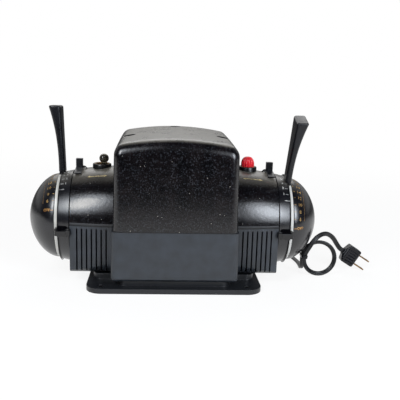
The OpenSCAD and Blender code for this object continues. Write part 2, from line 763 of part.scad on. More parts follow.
module cord_coil() {
    color("#101012") translate([coil_at[0], coil_at[1], 0]) difference() {
        cylinder(h = cord_coil_h, r = cord_coil_r + cord_r);
        translate([0, 0, -cut]) cylinder(h = cord_coil_h + 2 * cut, r = cord_coil_r - cord_r);
    }
}
module cord_hank() {
    color("#101012") swept_tube(hank_points, cord_r, 8, [0, 1, 0]);
}
module plug_lead() {
    color("#101012") swept_tube(concat([hank_points[19]], lead_points), cord_r, 8, [0, 1, 0]);
}
module cord_tie() {
    first = hank_point(180 - tie_a);
    second = hank_point(540 - tie_a);
    depth = first[1] - second[1] + 2 * cord_r + 2.2;
    color("#1A1A1A") translate([hank_at[0], (first[1] + second[1]) / 2, hank_at[2]])
        rotate([0, -tie_a, 0]) difference() {
            translate([hank_r - cord_r - 1.2, -depth / 2, -2.5]) cube([2 * cord_r + 2.4, depth, 5]);
            translate([hank_r - cord_r - 0.1, 1 - depth / 2, -4]) cube([2 * cord_r + 0.2, depth - 2, 8]);
        }
}
module strain_relief() {
    color("#17171A") translate([cord_exit[0], hump_y - wall, cord_exit[2]]) rotate([-90, 0, 0]) difference() {
        union() {
            translate([0, 0, -1.5]) cylinder(h = 1.5, r = relief_r + 2);
            cylinder(h = wall, r = relief_r - fit);
            translate([0, 0, wall]) cylinder(h = 2, r = relief_r + 2);
            translate([0, 0, wall + 2]) cylinder(h = relief_len - 2, r1 = relief_r + 1, r2 = cord_r + 0.9);
        }
        translate([0, 0, -2]) cylinder(h = 2 + wall, r = cord_r);
    }
}
module plug_frame() {
    translate(plug_at) rotate([0, plug_tilt, 0]) children();
}
module plug_body() {
    color("#141416") plug_frame() hull() {
        translate([0, 0, 0]) rotate([0, 90, 0]) cylinder(h = 0.5, r = 5, $fn = 32);
        for (y = [-1, 1], z = [-1, 1]) translate([5, y * (plug_t / 2 - 3), z * (plug_w / 2 - 3)])
            rotate([0, 90, 0]) cylinder(h = plug_len - 5, r = 3, $fn = 32);
    }
}
module plug_blades() {
    color("#C6A55C") plug_frame() for (z = [-1, 1]) difference() {
        translate([plug_len, -blade_w / 2, z * blade_pitch / 2 - blade_t / 2])
            cube([blade_len, blade_w, blade_t]);
        translate([plug_len + blade_len - 4, 0, z * blade_pitch / 2 - 2]) cylinder(h = 4, r = 1.5);
    }
}

base_plate();
lower_housing();
upper_cover();
cover_screws();
core_bolts();
core_cradle();
laminated_core();
coil_former();
coil();
top_frame();
bearing_plate(-1);  // left_bearing_plate
bearing_plate(1);  // right_bearing_plate
bezel(-1);  // left_bezel
bezel(1);  // right_bezel
lamp_socket(-1);  // left_lamp_socket
lamp_socket(1);  // right_lamp_socket
lamp(-1, bezel_z + 12, 1.6);  // left_lamp
lamp(1, bezel_z + 7, 0);  // right_lamp
red_lens();
terminal_board();
binding_posts();
thumb_nuts();
circuit_breaker();
rectifier_stack();
dial_dome(-1);  // left_dial_dome
dial_dome(1);  // right_dial_dome
light_ring(-1, left_rest);  // left_light_ring
light_ring(1, right_rest);  // right_light_ring
throttle_handle(-1, left_rest);  // left_throttle_handle
throttle_handle(1, right_rest);  // right_throttle_handle
throttle_shaft(-1);  // left_throttle_shaft
throttle_shaft(1);  // right_throttle_shaft
outer_arm(-1, left_rest);  // left_outer_arm
outer_arm(1, right_rest);  // right_outer_arm
roller(-1, left_rest + outer_lead);  // left_outer_roller
roller(1, right_rest + outer_lead);  // right_outer_roller
dial_band(-1);  // left_dial_band
dial_band(1);  // right_dial_band
dial_sleeve(-1);  // left_dial_sleeve
dial_sleeve(1);  // right_dial_sleeve
inner_arm(-1);  // left_inner_arm
inner_arm(1);  // right_inner_arm
roller(-1, tab_angle + inner_lead);  // left_inner_roller
roller(1, tab_angle + inner_lead);  // right_inner_roller
direction_lever(-1);  // left_direction_lever
direction_lever(1);  // right_direction_lever
strain_relief();
power_cord();
cord_coil();
cord_run();
cord_hank();
plug_lead();
cord_tie();
plug_body();
plug_blades();
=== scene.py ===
# %% [markdown]
# # A twin-dial model train transformer
# The real thing is a heavy laminated core and coil under a moulded phenolic cover, with a domed
# throttle and a dial band at each end. The mechanics come in as a fixed frame, already at their
# real size. This lesson dresses that frame: it builds the skins that the eye rests on as surfaces
# worked out with numpy, and gives every part a procedural finish.

# %% Load the frame
import math

import bmesh
import bpy
import numpy as np
from mathutils import Matrix, Vector


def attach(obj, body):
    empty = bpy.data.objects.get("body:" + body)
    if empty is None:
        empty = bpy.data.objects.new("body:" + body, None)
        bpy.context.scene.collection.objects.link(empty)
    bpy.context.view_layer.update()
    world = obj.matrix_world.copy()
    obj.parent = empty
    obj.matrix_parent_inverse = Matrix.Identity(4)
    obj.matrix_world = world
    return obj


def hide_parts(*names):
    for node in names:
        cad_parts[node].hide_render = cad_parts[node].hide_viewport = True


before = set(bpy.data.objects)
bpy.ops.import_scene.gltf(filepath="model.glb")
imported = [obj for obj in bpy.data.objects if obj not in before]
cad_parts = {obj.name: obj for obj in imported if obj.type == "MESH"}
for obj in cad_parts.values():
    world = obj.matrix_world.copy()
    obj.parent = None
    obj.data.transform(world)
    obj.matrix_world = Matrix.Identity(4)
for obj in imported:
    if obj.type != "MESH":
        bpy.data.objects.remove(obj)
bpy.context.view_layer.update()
MM = 0.001
AXIS_Z = 70.0
SIDES = {"left": -1, "right": 1}
REARWARD = np.array([0.0, 1.0, 0.0])


def new_object(name, data):
    """A new object in the scene that shows this data."""
    thing = bpy.data.objects.new(name, data)
    bpy.context.scene.collection.objects.link(thing)
    return thing


# %% [markdown]
# ## Camera
# The photograph looks down on the front at about twelve degrees, a little from the left, from
# eight tenths of a metre. Its place was found by matching the corners of the base plate, the
# hump and the light rings with their real sizes. The axes are worked out from a pan, a tilt and
# a roll, because a hand-held camera is never quite level.

# %% Camera
FOCAL_PIXELS = 647.57
FRAME_PIXELS = 400
SENSOR_MM = 36.0
CAMERA_AT = (-0.01967, -0.79353, 0.26452)


def camera_axes(pan, tilt, roll):
    """Right, up and back: ahead = (sin pan cos tilt, cos pan cos tilt, sin tilt), then a roll about it."""
    ahead = Vector((math.sin(pan) * math.cos(tilt), math.cos(pan) * math.cos(tilt), math.sin(tilt)))
    right = Vector((math.cos(pan), -math.sin(pan), 0))
    up = right.cross(ahead)
    rolled_right = right * math.cos(roll) + up * math.sin(roll)
    rolled_up = up * math.cos(roll) - right * math.sin(roll)
    return Matrix((rolled_right, rolled_up, -ahead)).transposed()


camera_data = bpy.data.cameras.new("photo_camera")
camera_data.sensor_fit = "HORIZONTAL"
camera_data.sensor_width = SENSOR_MM
camera_data.lens = FOCAL_PIXELS * SENSOR_MM / FRAME_PIXELS
camera = new_object("photo_camera", camera_data)
axes = camera_axes(pan=0.065, tilt=-0.214, roll=0.031)
camera.matrix_world = Matrix.Translation(CAMERA_AT) @ axes.to_4x4()
bpy.context.scene.camera = camera
bpy.context.scene.view_settings.view_transform = "Standard"
print("lens:", round(camera_data.lens, 2), "mm")

# %% [markdown]
# ## From arrays to meshes
# Every new skin is a grid of points. A grid whose columns meet again is a tube, and one whose
# rows meet as well is a ring. A few small helpers turn such an array into a tidy mesh.


# %% Mesh helpers
MERGE_DISTANCE = 1e-6
FLAT_ANGLE = math.radians(1)


def grid_faces(rows, cols, round_rows=False, round_cols=True):
    """Quads between neighbours of a grid of points; a round grid's last row or column meets its first."""
    r = np.arange(rows if round_rows else rows - 1)[:, None]
    c = np.arange(cols if round_cols else cols - 1)[None, :]
    r_next = (r + 1) % rows
    c_next = (c + 1) % cols
    quads = [r * cols + c, r * cols + c_next, r_next * cols + c_next, r_next * cols + c]
    return np.stack(quads, axis=-1).reshape(-1, 4).tolist()


def soften(mesh, sharp):
    """Smooth shading, with the edges sharper than an angle in degrees kept crisp."""
    mesh.shade_smooth()
    mesh.set_sharp_from_angle(angle=math.radians(sharp))


def clean_mesh(mesh, from_cad=False):
    """Merges doubles, then turns the faces outwards or, on a copy of a CAD node, dissolves what lies flat."""
    clean = bmesh.new()
    clean.from_mesh(mesh)
    bmesh.ops.remove_doubles(clean, verts=clean.verts, dist=MERGE_DISTANCE)
    if from_cad:
        bmesh.ops.dissolve_limit(clean, angle_limit=FLAT_ANGLE, verts=clean.verts, edges=clean.edges)
    else:
        bmesh.ops.recalc_face_normals(clean, faces=clean.faces)
    clean.to_mesh(mesh)
    clean.free()


def make_piece(name, points, faces, sharp=34):
    """A closed mesh object from points in mm, with edges sharper than an angle in degrees kept crisp."""
    mesh = bpy.data.meshes.new(name)
    mesh.from_pydata((np.asarray(points).reshape(-1, 3) * MM).tolist(), [], faces)
    clean_mesh(mesh)
    soften(mesh, sharp)
    return new_object(name, mesh)


def loft_faces(rows, cols):
    """A tube of rings with a flat cap at each end."""
    caps = [list(range(cols)), list(range((rows - 1) * cols, rows * cols))]
    return grid_faces(rows, cols) + caps


def make_loft(name, rings, sharp=34):
    """A closed solid from an array of rings, [ring, point, xyz]."""
    return make_piece(name, rings, loft_faces(rings.shape[0], rings.shape[1]), sharp)


def dress(piece, material, body, slot, *nodes):
    """Gives a finished piece its material and its body, and hides the CAD nodes that it stands for; slot is
    not used.
    """
    piece.data.materials.clear()
    piece.data.materials.append(material)
    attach(piece, body)
    if nodes:
        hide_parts(*nodes)
    print(piece.name, len(piece.data.polygons), "faces on", body)
    return piece


# %% [markdown]
# ## Colour and nodes
# Colours are written as sRGB hex values, the way a colour chart gives them, and turned to linear
# light once. One function adds any node, with its settings and its links, so a material reads as
# a short list of what it is made of. Object coordinates are in metres, so a pattern's scale is
# one over its real size.

# %% Node helpers
MIX_A = 6
MIX_B = 7
MIX_OUT = 2


def linear(code):
    """Linear RGBA of an sRGB hex colour: a channel c becomes ((c + 0.055) / 1.055) to the power 2.4."""
    channels = np.array([int(code[i : i + 2], 16) for i in (1, 3, 5)]) / 255
    light = np.where(channels <= 0.04045, channels / 12.92, ((channels + 0.055) / 1.055) ** 2.4)
    return (*light.tolist(), 1.0)


def per_mm(size):
    """Texture scale at which one feature is about this many millimetres across."""
    return 1 / (size * MM)


def add(tree, kind, links=None, **settings):
    """Adds one shader node. Links maps a socket's name or number to a value or another node's output."""
    node = tree.nodes.new("ShaderNode" + kind)
    for name, value in settings.items():
        setattr(node, name, value)
    for name, value in (links or {}).items():
        if isinstance(value, bpy.types.NodeSocket):
            tree.links.new(value, node.inputs[name])
        else:
            node.inputs[name].default_value = value
    return node


def new_material(name):
    """An empty material, as the material and its node tree."""
    material = bpy.data.materials.new(name)
    material.use_nodes = True
    material.node_tree.nodes.clear()
    return material, material.node_tree


def finish_with(tree, **sockets):
    """Adds the shader and the output. A socket's name is written with underscores for its spaces."""
    named = {name.replace("_", " "): value for name, value in sockets.items()}
    shader = add(tree, "BsdfPrincipled", named)
    add(tree, "OutputMaterial", {"Surface": shader.outputs[0]})


# %% [markdown]
# ## Phenolic mouldings
# The cover, dials and housing are compression-moulded phenolic. It comes off a polished steel
# tool almost black and glossy, but the skin is never flat: flow leaves a slight orange peel,
# filler shows as faint mottling, and seventy years of shelves leave pale specks and a film of
# dust on what faces up. All of that is noise at different sizes, laid over one dark colour. The
# Bevel node rounds the light along edges by a few tenths of a millimetre, as a mould does.


# %% Phenolic
CLOUD_MM, PEEL_MM, SPECK_MM, GRIT_MM = 14, 3.6, 5, 1.7
FROST, DUST, SPECK = "#7C838C", "#8C867A", "#A8A49A"


def frosted(tree, where, shade, strength):
    """Fine flecks where grit noise is above its middle: the worn, hazy skin of an old moulding."""
    grit = add(tree, "TexNoise", {"Vector": where, "Scale": per_mm(GRIT_MM), "Detail": 3.0, "Roughness": 0.7})
    fleck = add(tree, "MapRange", {0: grit.outputs["Fac"], 1: 0.52, 2: 0.75, 3: 0.0, 4: strength})
    mixed = add(tree, "Mix", {0: fleck.outputs[0], MIX_A: shade, MIX_B: linear(FROST)}, data_type="RGBA")
    return mixed.outputs[MIX_OUT]


def dusted(tree, up, cloud, strength):
    """How thick the dust lies: it starts where the surface faces well upwards, and cloud noise thins it."""
    upward = add(
        tree, "MapRange", {0: up, 1: 0.74, 2: 1.0, 3: 0.0, 4: strength}, interpolation_type="SMOOTHSTEP"
    )
    grain = add(tree, "MapRange", {0: cloud, 1: 0.3, 2: 0.7, 3: 0.6, 4: 1.0})
    return add(tree, "Math", {0: upward.outputs[0], 1: grain.outputs[0]}, operation="MULTIPLY").outputs[0]


def specked(tree, where, shade, share):
    """Pale specks: a small dot at the middle of some of a Voronoi pattern's cells, chosen by their colour."""
    cells = add(tree, "TexVoronoi", {"Vector": where, "Scale": per_mm(SPECK_MM)})
    dot = add(tree, "MapRange", {0: cells.outputs["Distance"], 1: 0.05, 2: 0.09, 3: 1.0, 4: 0.0})
    chance = add(tree, "SeparateColor", {0: cells.outputs["Color"]})
    few = add(tree, "Math", {0: chance.outputs[0], 1: 1 - share}, operation="GREATER_THAN")
    speck = add(tree, "Math", {0: dot.outputs[0], 1: few.outputs[0]}, operation="MULTIPLY")
    mixed = add(tree, "Mix", {0: speck.outputs[0], MIX_A: shade, MIX_B: linear(SPECK)}, data_type="RGBA")
    return mixed.outputs[MIX_OUT]


def moulded(
    name, colour, mottle, roughness, peel=0.05, dust=0.0, specks=0.0, edge=0.35, ior=1.55, frost=0.0
):
    """Moulded plastic: a mottled colour and orange peel in mm, then flecks, dust and specks where asked."""
    material, tree = new_material(name)
    place = add(tree, "TexCoord")
    where = place.outputs["Object"]
    cloud = add(tree, "TexNoise", {"Vector": where, "Scale": per_mm(CLOUD_MM), "Detail": 5.0}).outputs["Fac"]
    patches = add(tree, "MapRange", {0: cloud, 1: 0.35, 2: 0.7})
    mottled = {0: patches.outputs[0], MIX_A: linear(colour), MIX_B: linear(mottle)}
    shade = add(tree, "Mix", mottled, data_type="RGBA").outputs[MIX_OUT]
    if frost > 0:
        shade = frosted(tree, where, shade, frost)
    spread = {0: cloud, 1: 0.3, 2: 0.7, 3: roughness * 0.85, 4: roughness * 1.2}
    rough = add(tree, "MapRange", spread).outputs[0]
    if dust > 0:
        normal = add(tree, "SeparateXYZ", {0: place.outputs["Normal"]})
        film = dusted(tree, normal.outputs["Z"], cloud, dust)
        dusty = {0: film, MIX_A: shade, MIX_B: linear(DUST)}
        shade = add(tree, "Mix", dusty, data_type="RGBA").outputs[MIX_OUT]
        rough = add(tree, "Math", {0: film, 1: 0.3, 2: rough}, operation="MULTIPLY_ADD").outputs[0]
    if specks > 0:
        shade = specked(tree, where, shade, specks)
    rounded = add(tree, "Bevel", {"Radius": edge * MM}, samples=3)
    orange = add(tree, "TexNoise", {"Vector": where, "Scale": per_mm(PEEL_MM), "Detail": 1.0})
    skin = {"Height": orange.outputs["Fac"], "Distance": peel * MM, "Normal": rounded.outputs[0]}
    bump = add(tree, "Bump", {**skin, "Strength": 1.0})
    finish_with(tree, Base_Color=shade, Roughness=rough, IOR=ior, Normal=bump.outputs[0])
    return material


cover_phenolic = moulded(
    "glossy_phenolic", "#050406", "#0E090B", 0.18, peel=0.08, dust=0.54, specks=0.26, frost=0.15
)
housing_phenolic = moulded("matt_phenolic", "#21252A", "#2B3037", 0.42, peel=0.04)
trim_phenolic = moulded("worn_bead", "#1C1D20", "#26282B", 0.6, peel=0.02)
dial_phenolic = moulded(
    "dial_phenolic", "#0B0B0F", "#121217", 0.22, peel=0.03, dust=0.3, specks=0.03, ior=1.65
)
handle_phenolic = moulded("handle_phenolic", "#0B0C10", "#121318", 0.3, peel=0.0, ior=1.42)
tab_phenolic = moulded("tab_phenolic", "#040406", "#08080A", 0.1, peel=0.0)
bezel_phenolic = moulded("bezel_phenolic", "#0B0B0D", "#121214", 0.25, peel=0.02, dust=0.3)

# %% [markdown]
# ## Cord
# A flat twin mains lead: two conductors side by side in one black rubber sheath, six
# millimetres wide, with a groove between them. It leaves the rear of the housing, lies in
# a neat coil behind it, runs forward round the right-hand dome and ends in a tied hank and a
# plug. The route is a smooth curve through listed points, and a coil's turns come from a
# formula. The sheath is one section carried along it.

# %% Cord route
CORD_WIDE = 6.0
CORD_THICK = 4.0
COIL_MIDDLE = (98.0, 150.0)
COIL_RADIUS = 36.0
COIL_TURNS = 4.5
HANK_START = (184.5, -10.5, 22.6)
HANK_RADIUS = 20.0
HANK_SWEEP = 385.0
HANK_SHIFT = 10.5
ROUTE_STEP = 1.6
exit_points = [(60, 109.5, 26), (60, 119, 26), (60.5, 130, 24.5), (61.5, 140, 22.4), (62, 150, 20.8)]
run_points = [
    (134, 150, 2.6), (134.5, 137, 2.6), (138, 122, 2.6), (144, 106, 2.6), (151, 90, 2.6),
    (157.5, 74, 2.6), (162.5, 58, 2.6), (166, 42, 2.6), (167.8, 26, 2.6), (167.8, 16, 2.6),
    (167, 8.5, 2.9), (166, 1.2, 4.6), (165.2, -4.9, 8.6), (164.7, -9.05, 14.9),
]
lead_points = [
    (169.6, -22.6, 38.4), (173.6, -22.6, 45.2), (179, -20.6, 50.6), (185.6, -17, 53.6),
    (192.6, -12.4, 53.4), (199.2, -7.6, 50), (205, -3, 44.7), (209.4, 0.9, 38.8),
    (212.6, 3.3, 34.4), (214.7, 4.3, 31.6), (217.1, 4.9, 29), (219.64, 5, 27.25), (221, 5, 26.4),
]


def coil_turns():
    """Level turns, clockwise from above: x = cx + R cos t, y = cy + R sin t, while z falls to the floor."""
    t = math.pi - np.linspace(0, 2 * math.pi * COIL_TURNS, int(16 * COIL_TURNS) + 1)
    x = COIL_MIDDLE[0] + COIL_RADIUS * np.cos(t)
    y = COIL_MIDDLE[1] + COIL_RADIUS * np.sin(t)
    z = np.linspace(exit_points[-1][2], run_points[0][2], len(t))
    return np.stack([x, y, z], axis=1)


def open_turn():
    """The hank's upright turn: x = cx - r cos t, z = cz + r sin t, while y moves towards the front."""
    share = np.linspace(0, 1, 31)
    t = np.radians(HANK_SWEEP * share)
    x = HANK_START[0] - HANK_RADIUS * np.cos(t)
    y = HANK_START[1] - HANK_SHIFT * share
    z = HANK_START[2] + HANK_RADIUS * np.sin(t)
    return np.stack([x, y, z], axis=1)


def smooth_route(points, step):
    """A cubic through every point by distance: Hermite blends of each pair of points and their slopes."""
    chord = np.linalg.norm(np.diff(points, axis=0), axis=1)
    at = np.concatenate([[0], np.cumsum(chord)])
    slope = np.gradient(points, at, axis=0)
    want = np.linspace(0, at[-1], int(at[-1] / step) + 1)
    i = np.clip(np.searchsorted(at, want, side="right") - 1, 0, len(chord) - 1)
    u = ((want - at[i]) / chord[i])[:, None]
    span = chord[i][:, None]
    start = (2 * u**3 - 3 * u**2 + 1) * points[i] + (u**3 - 2 * u**2 + u) * span * slope[i]
    end = (3 * u**2 - 2 * u**3) * points[i + 1] + (u**3 - u**2) * span * slope[i + 1]
    return start + end, want


def unit(vectors):
    """Each vector divided by its length."""
    return vectors / np.linalg.norm(vectors, axis=-1, keepdims=True)


def sweep(path, section, across):
    """Carries a section along a path: point = centre + section x * across + section y * (ahead x across)."""
    ahead = unit(np.gradient(path, axis=0))
    wide = unit(across - np.sum(across * ahead, axis=1, keepdims=True) * ahead)
    over = np.cross(ahead, wide)
    return path[:, None] + section[None, :, :1] * wide[:, None] + section[None, :, 1:] * over[:, None]


lead_in = np.array(exit_points, float)
run = np.array(run_points, float)
lead_out = np.array(lead_points, float)
before_hank = np.concatenate([lead_in[:-1], coil_turns(), run[1:]])
route_points = np.concatenate([before_hank, open_turn(), lead_out])
route, distance = smooth_route(route_points, ROUTE_STEP)

# %% Cord sheath
# Flat on the floor, the sheath's broad side faces up. It twists a little round the open turn
# and shows its broad side to the front again on its way to the plug.
ahead = unit(np.gradient(route, axis=0))
LEAN_MOST = 42
RISE_MM, LEAN_IN_MM, LEAN_TO_MM, LEAN_OUT_MM = 12, 30, 105, 45
GROOVE_SHARE, GROOVE_HALF = 0.3, 0.8
level = np.cross((0.0, 0.0, 1.0), ahead)
facing = unit(np.cross(REARWARD, ahead + (1e-4, 0, 0)))
into_hank = distance - np.linalg.norm(np.diff(before_hank, axis=0), axis=1).sum() - 8
upright = np.clip(into_hank / RISE_MM + 1, 0, 1)[:, None]
ease = np.clip(into_hank / LEAN_IN_MM, 0, 1) * (1 - np.clip((into_hank - LEAN_TO_MM) / LEAN_OUT_MM, 0, 1))
lean = np.radians(90 - LEAN_MOST * ease * ease * (3 - 2 * ease))[:, None]
across = level * (1 - upright) + (np.cos(lean) * REARWARD + np.sin(lean) * facing) * upright
turn = np.linspace(0, 2 * math.pi, 28, endpoint=False)
groove = 1 - GROOVE_SHARE * np.exp(-((np.cos(turn) * CORD_WIDE / 2 / GROOVE_HALF) ** 2))
sheath_section = np.stack([np.cos(turn) * CORD_WIDE / 2, np.sin(turn) * CORD_THICK / 2 * groove], axis=1)


def sheath_rubber():
    """Aged black rubber: a faint bloom of grey in patches, satin, with fine scuffs along it."""
    material, tree = new_material("aged_rubber")
    where = add(tree, "TexCoord").outputs["Object"]
    bloom = add(tree, "TexNoise", {"Vector": where, "Scale": per_mm(7), "Detail": 5.0})
    patches = add(tree, "MapRange", {0: bloom.outputs["Fac"], 1: 0.4, 2: 0.75})
    bloomed = {0: patches.outputs[0], MIX_A: linear("#0B0C0E"), MIX_B: linear("#1A1B1E")}
    shade = add(tree, "Mix", bloomed, data_type="RGBA").outputs[MIX_OUT]
    scuff = add(tree, "TexNoise", {"Vector": where, "Scale": per_mm(0.9), "Detail": 3.0})
    rough = add(tree, "MapRange", {0: scuff.outputs["Fac"], 1: 0.3, 2: 0.7, 3: 0.26, 4: 0.44})
    bump = add(tree, "Bump", {"Height": scuff.outputs["Fac"], "Distance": 0.05 * MM, "Strength": 0.6})
    finish_with(tree, Base_Color=shade, Roughness=rough.outputs[0], IOR=1.4, Normal=bump.outputs[0])
    return material


rubber = sheath_rubber()
cord = make_loft("mains_cord", sweep(route, sheath_section, across), sharp=60)
cord_nodes = ("power_cord", "cord_coil", "cord_run", "cord_hank", "plug_lead")
dress(cord, rubber, "housing", "cord_rubber", *cord_nodes)

# %% [markdown]
# ## Plug, tie and strain relief
# The plug is a moulded rubber block that widens from the cord, with grip grooves along its
# faces. The blades are folded brass and stay as the frame gives them. A flat band holds the
# hank. The strain relief is a tapered sleeve with rings cut in it so that it bends.

# %% Plug
PLUG_AT = np.array([221.0, 5.0, 26.4])
PLUG_TILT = math.radians(32)
PLUG_LENGTH = 20.0
PLUG_WIDE = 24.0
PLUG_THICK = 14.0
PLUG_CORNER = 1.8
GRIP_PITCH, GRIP_HALF, GRIP_SHARE = 3.7, 8.5, 0.16
plug_ahead = np.array([math.cos(PLUG_TILT), 0, -math.sin(PLUG_TILT)])
plug_up = np.array([math.sin(PLUG_TILT), 0, math.cos(PLUG_TILT)])


def rounded_box_loop(half_x, half_y, corner, count=64):
    """A rectangle with round corners, sampled by angle: each quarter arc stands at its corner's centre."""
    phi = (np.arange(count) + 0.5) * 2 * math.pi / count
    half_x, half_y, corner = (np.atleast_1d(v)[:, None] for v in (half_x, half_y, corner))
    x = np.sign(np.cos(phi)) * (half_x - corner) + corner * np.cos(phi)
    y = np.sign(np.sin(phi)) * (half_y - corner) + corner * np.sin(phi)
    return np.stack([x, y], axis=-1)


def even_loop(loop, count):
    """The same closed outline with its points spread evenly by distance."""
    closed = np.concatenate([loop, loop[:1]])
    at = np.concatenate([[0], np.cumsum(np.linalg.norm(np.diff(closed, axis=0), axis=1))])
    want = np.linspace(0, at[-1], count, endpoint=False)
    return np.stack([np.interp(want, at, closed[:, k]) for k in (0, 1)], axis=1)


def plug_rings():
    """A neck that swells to a block by a smooth step, with grooves that are a wave on the broad faces."""
    t = np.array([0, 0.02, 0.06, 0.12, 0.18, 0.22, 0.26, 0.3, 0.34, 0.6, 0.9, 0.95, 0.985, 1.0])
    swell = np.clip(t / 0.2, 0, 1)
    swell = swell * swell * (3 - 2 * swell)
    rim = np.where(t > 0.9, 1 - 0.07 * ((t - 0.9) / 0.1) ** 2, 1)
    rim = rim * np.where(t < 0.03, 0.9, 1)
    outline = even_loop(rounded_box_loop(PLUG_WIDE / 2, PLUG_THICK / 2, PLUG_CORNER)[0], 120)
    wide = outline[None, :, 0] * (0.42 + 0.58 * swell[:, None]) * rim[:, None]
    thick = outline[None, :, 1] * (0.6 + 0.4 * swell[:, None]) * rim[:, None]
    wave = 0.5 + 0.5 * np.cos(outline[:, 0] * 2 * math.pi / GRIP_PITCH)
    on_face = (np.abs(outline[:, 1]) > PLUG_THICK / 2 - 0.4) & (np.abs(outline[:, 0]) < GRIP_HALF)
    depth = np.clip((t - 0.26) / 0.1, 0, 1) * np.clip((0.99 - t) / 0.06, 0, 1)
    thick = thick * (1 - GRIP_SHARE * depth[:, None] * (wave**3 * on_face)[None, :])
    along = PLUG_AT + t[:, None] * PLUG_LENGTH * plug_ahead
    return along[:, None] + wide[..., None] * plug_up + thick[..., None] * REARWARD


plug_rubber = moulded("plug_rubber", "#05060B", "#0A0B12", 0.24, peel=0.03, ior=1.4)
plug = make_loft("plug_moulding", plug_rings(), sharp=50)
dress(plug, plug_rubber, "housing", "cord_rubber", "plug_body")


# %% Strain relief and tie
def revolve(profile, count=96, flute=None):
    """Turns (radius, height) pairs about a local Z: point = (r cos a, r sin a, h), r times 1 + flute(a)."""
    profile = np.asarray(profile, float)
    a = np.linspace(0, 2 * math.pi, count, endpoint=False)
    r = profile[:, :1] * (1 + (np.zeros(count) if flute is None else flute(a)))[None, :]
    return np.stack([r * np.cos(a), r * np.sin(a), np.broadcast_to(profile[:, 1:], r.shape)], axis=-1)


def make_ring(name, points, sharp=34):
    """A closed ring or shell: rows and columns both meet again."""
    return make_piece(name, points, grid_faces(points.shape[0], points.shape[1], True, True), sharp)


def to_rear(points, x, y, z):
    """Stands a turned piece on its side, its height along +Y."""
    return np.stack([x + points[..., 0], y + points[..., 2], z + points[..., 1]], axis=-1)


RELIEF_AT = (60, 82, 26)
CUT_DEPTH, CUT_PITCH = 0.55, 4.4
h = np.linspace(2, 24, 45)
cuts = CUT_DEPTH * (np.cos((h - 2) * 2 * math.pi / CUT_PITCH) < -0.2)
sleeve = np.stack([np.linspace(6.0, 3.5, len(h)) - cuts, h + 3.5], axis=1)
relief_profile = [(0.2, 2), (7, 2), (7, 3.5), (6.9, 5.3), *sleeve.tolist(), (0.2, 27.5)]
relief = make_loft("cord_sleeve", to_rear(revolve(relief_profile, 48), *RELIEF_AT))
dress(relief, plug_rubber, "housing", "cord_rubber", "strain_relief")

# The tie goes round two strands, where the open turn has come back next to its own start.
TIE_DEGREES = 172
TIE_POINTS = 40
tie_angle = math.radians(TIE_DEGREES)
tie_out = np.array([math.cos(tie_angle), 0, math.sin(tie_angle)])
tie_y = HANK_START[1] - HANK_SHIFT * (360 - TIE_DEGREES) / HANK_SWEEP
tie_middle = np.array([HANK_START[0], tie_y, HANK_START[2]])
tie_loop = even_loop(rounded_box_loop(3.6, 8.5, 3.1)[0], TIE_POINTS)
tie_centre = tie_middle + HANK_RADIUS * tie_out
tie_path = tie_centre + tie_loop[:, :1] * tie_out + tie_loop[:, 1:] * REARWARD
bar = rounded_box_loop(1.9, 0.35, 0.3, 12)[0]
tie_side = np.array([-math.sin(tie_angle), 0, math.cos(tie_angle)])
tie_across = np.tile(tie_side, (TIE_POINTS + 1, 1))
tie_rows = sweep(np.concatenate([tie_path, tie_path[:1]]), bar, tie_across)[:-1]
tie_band = make_ring("wire_tie", tie_rows)
dress(tie_band, plug_rubber, "housing", "cord_rubber", "cord_tie")

# %% [markdown]
# ## Upper cover
# The cover is a barrel crossed by a tall hump, moulded in one piece. The hump is a stack of
# rounded rectangles: straight walls with a little draft, a quarter round over the edge, then an
# arched top that every ring follows. The barrel is a run of half-round rings whose radius falls
# towards the ends. The two are joined and hollowed with Boolean modifiers, which also sink the
# screw wells and cut the slots.

# %% Cover solids
HUMP_X, HUMP_Y, HUMP_DRAFT = 72.0, 85.5, 1.6
UPRIGHT_R, END_R, FRONT_R = 9.0, 11.0, 14.0
HUMP_TOP, ARCH_R, CROWN = 177.5, 328.0, 0.8
CROWN_Y = HUMP_Y - HUMP_DRAFT - FRONT_R
SEAM_Z = 71.0
END_X = 123.0
WALL = 3.5
BARREL_R, BARREL_FALL, FALL_FROM = 63.0, 6.1, 60.0
WALL_ROWS, EDGE_ROWS, TOP_ROWS = 12, 10, 11
SCREWS = [(-56.0, -12.0), (56.0, -12.0), (0.0, 64.0)]
WELL_R, WELL_DEPTH, HEAD_R = 6.4, 5.0, 4.5
BOSS_WALL, BOSS_BELOW, BOSS_ABOVE = 2, 5.5, 3.1
ABOVE_HUMP, LAMP_HOLE_LOW, LAMP_HOLE_HIGH = 190, 110, 150
LAMP_X, LAMP_HOLE_R = 90.0, 11.35
SLOT_SWEEP = 18
SLOT_IN, SLOT_OUT = (115.4, 46), (119.4, 66)


def arch(x):
    """Height of the arched top's middle line: a circle of 328 mm about an axis along Y."""
    return HUMP_TOP - ARCH_R + np.sqrt(ARCH_R**2 - np.asarray(x) ** 2)


def top_height(x, y):
    """Height of the arched top: the arch less the crown times the square of y's share of the flat depth."""
    return arch(x) - CROWN * (y / CROWN_Y) ** 2


def barrel_radius(x):
    """63 mm next to the hump, less 6.1 times the square of the share of the way to the end face."""
    return BARREL_R - BARREL_FALL * (np.clip(np.abs(x) - FALL_FROM, 0, None) / (END_X - FALL_FROM)) ** 2


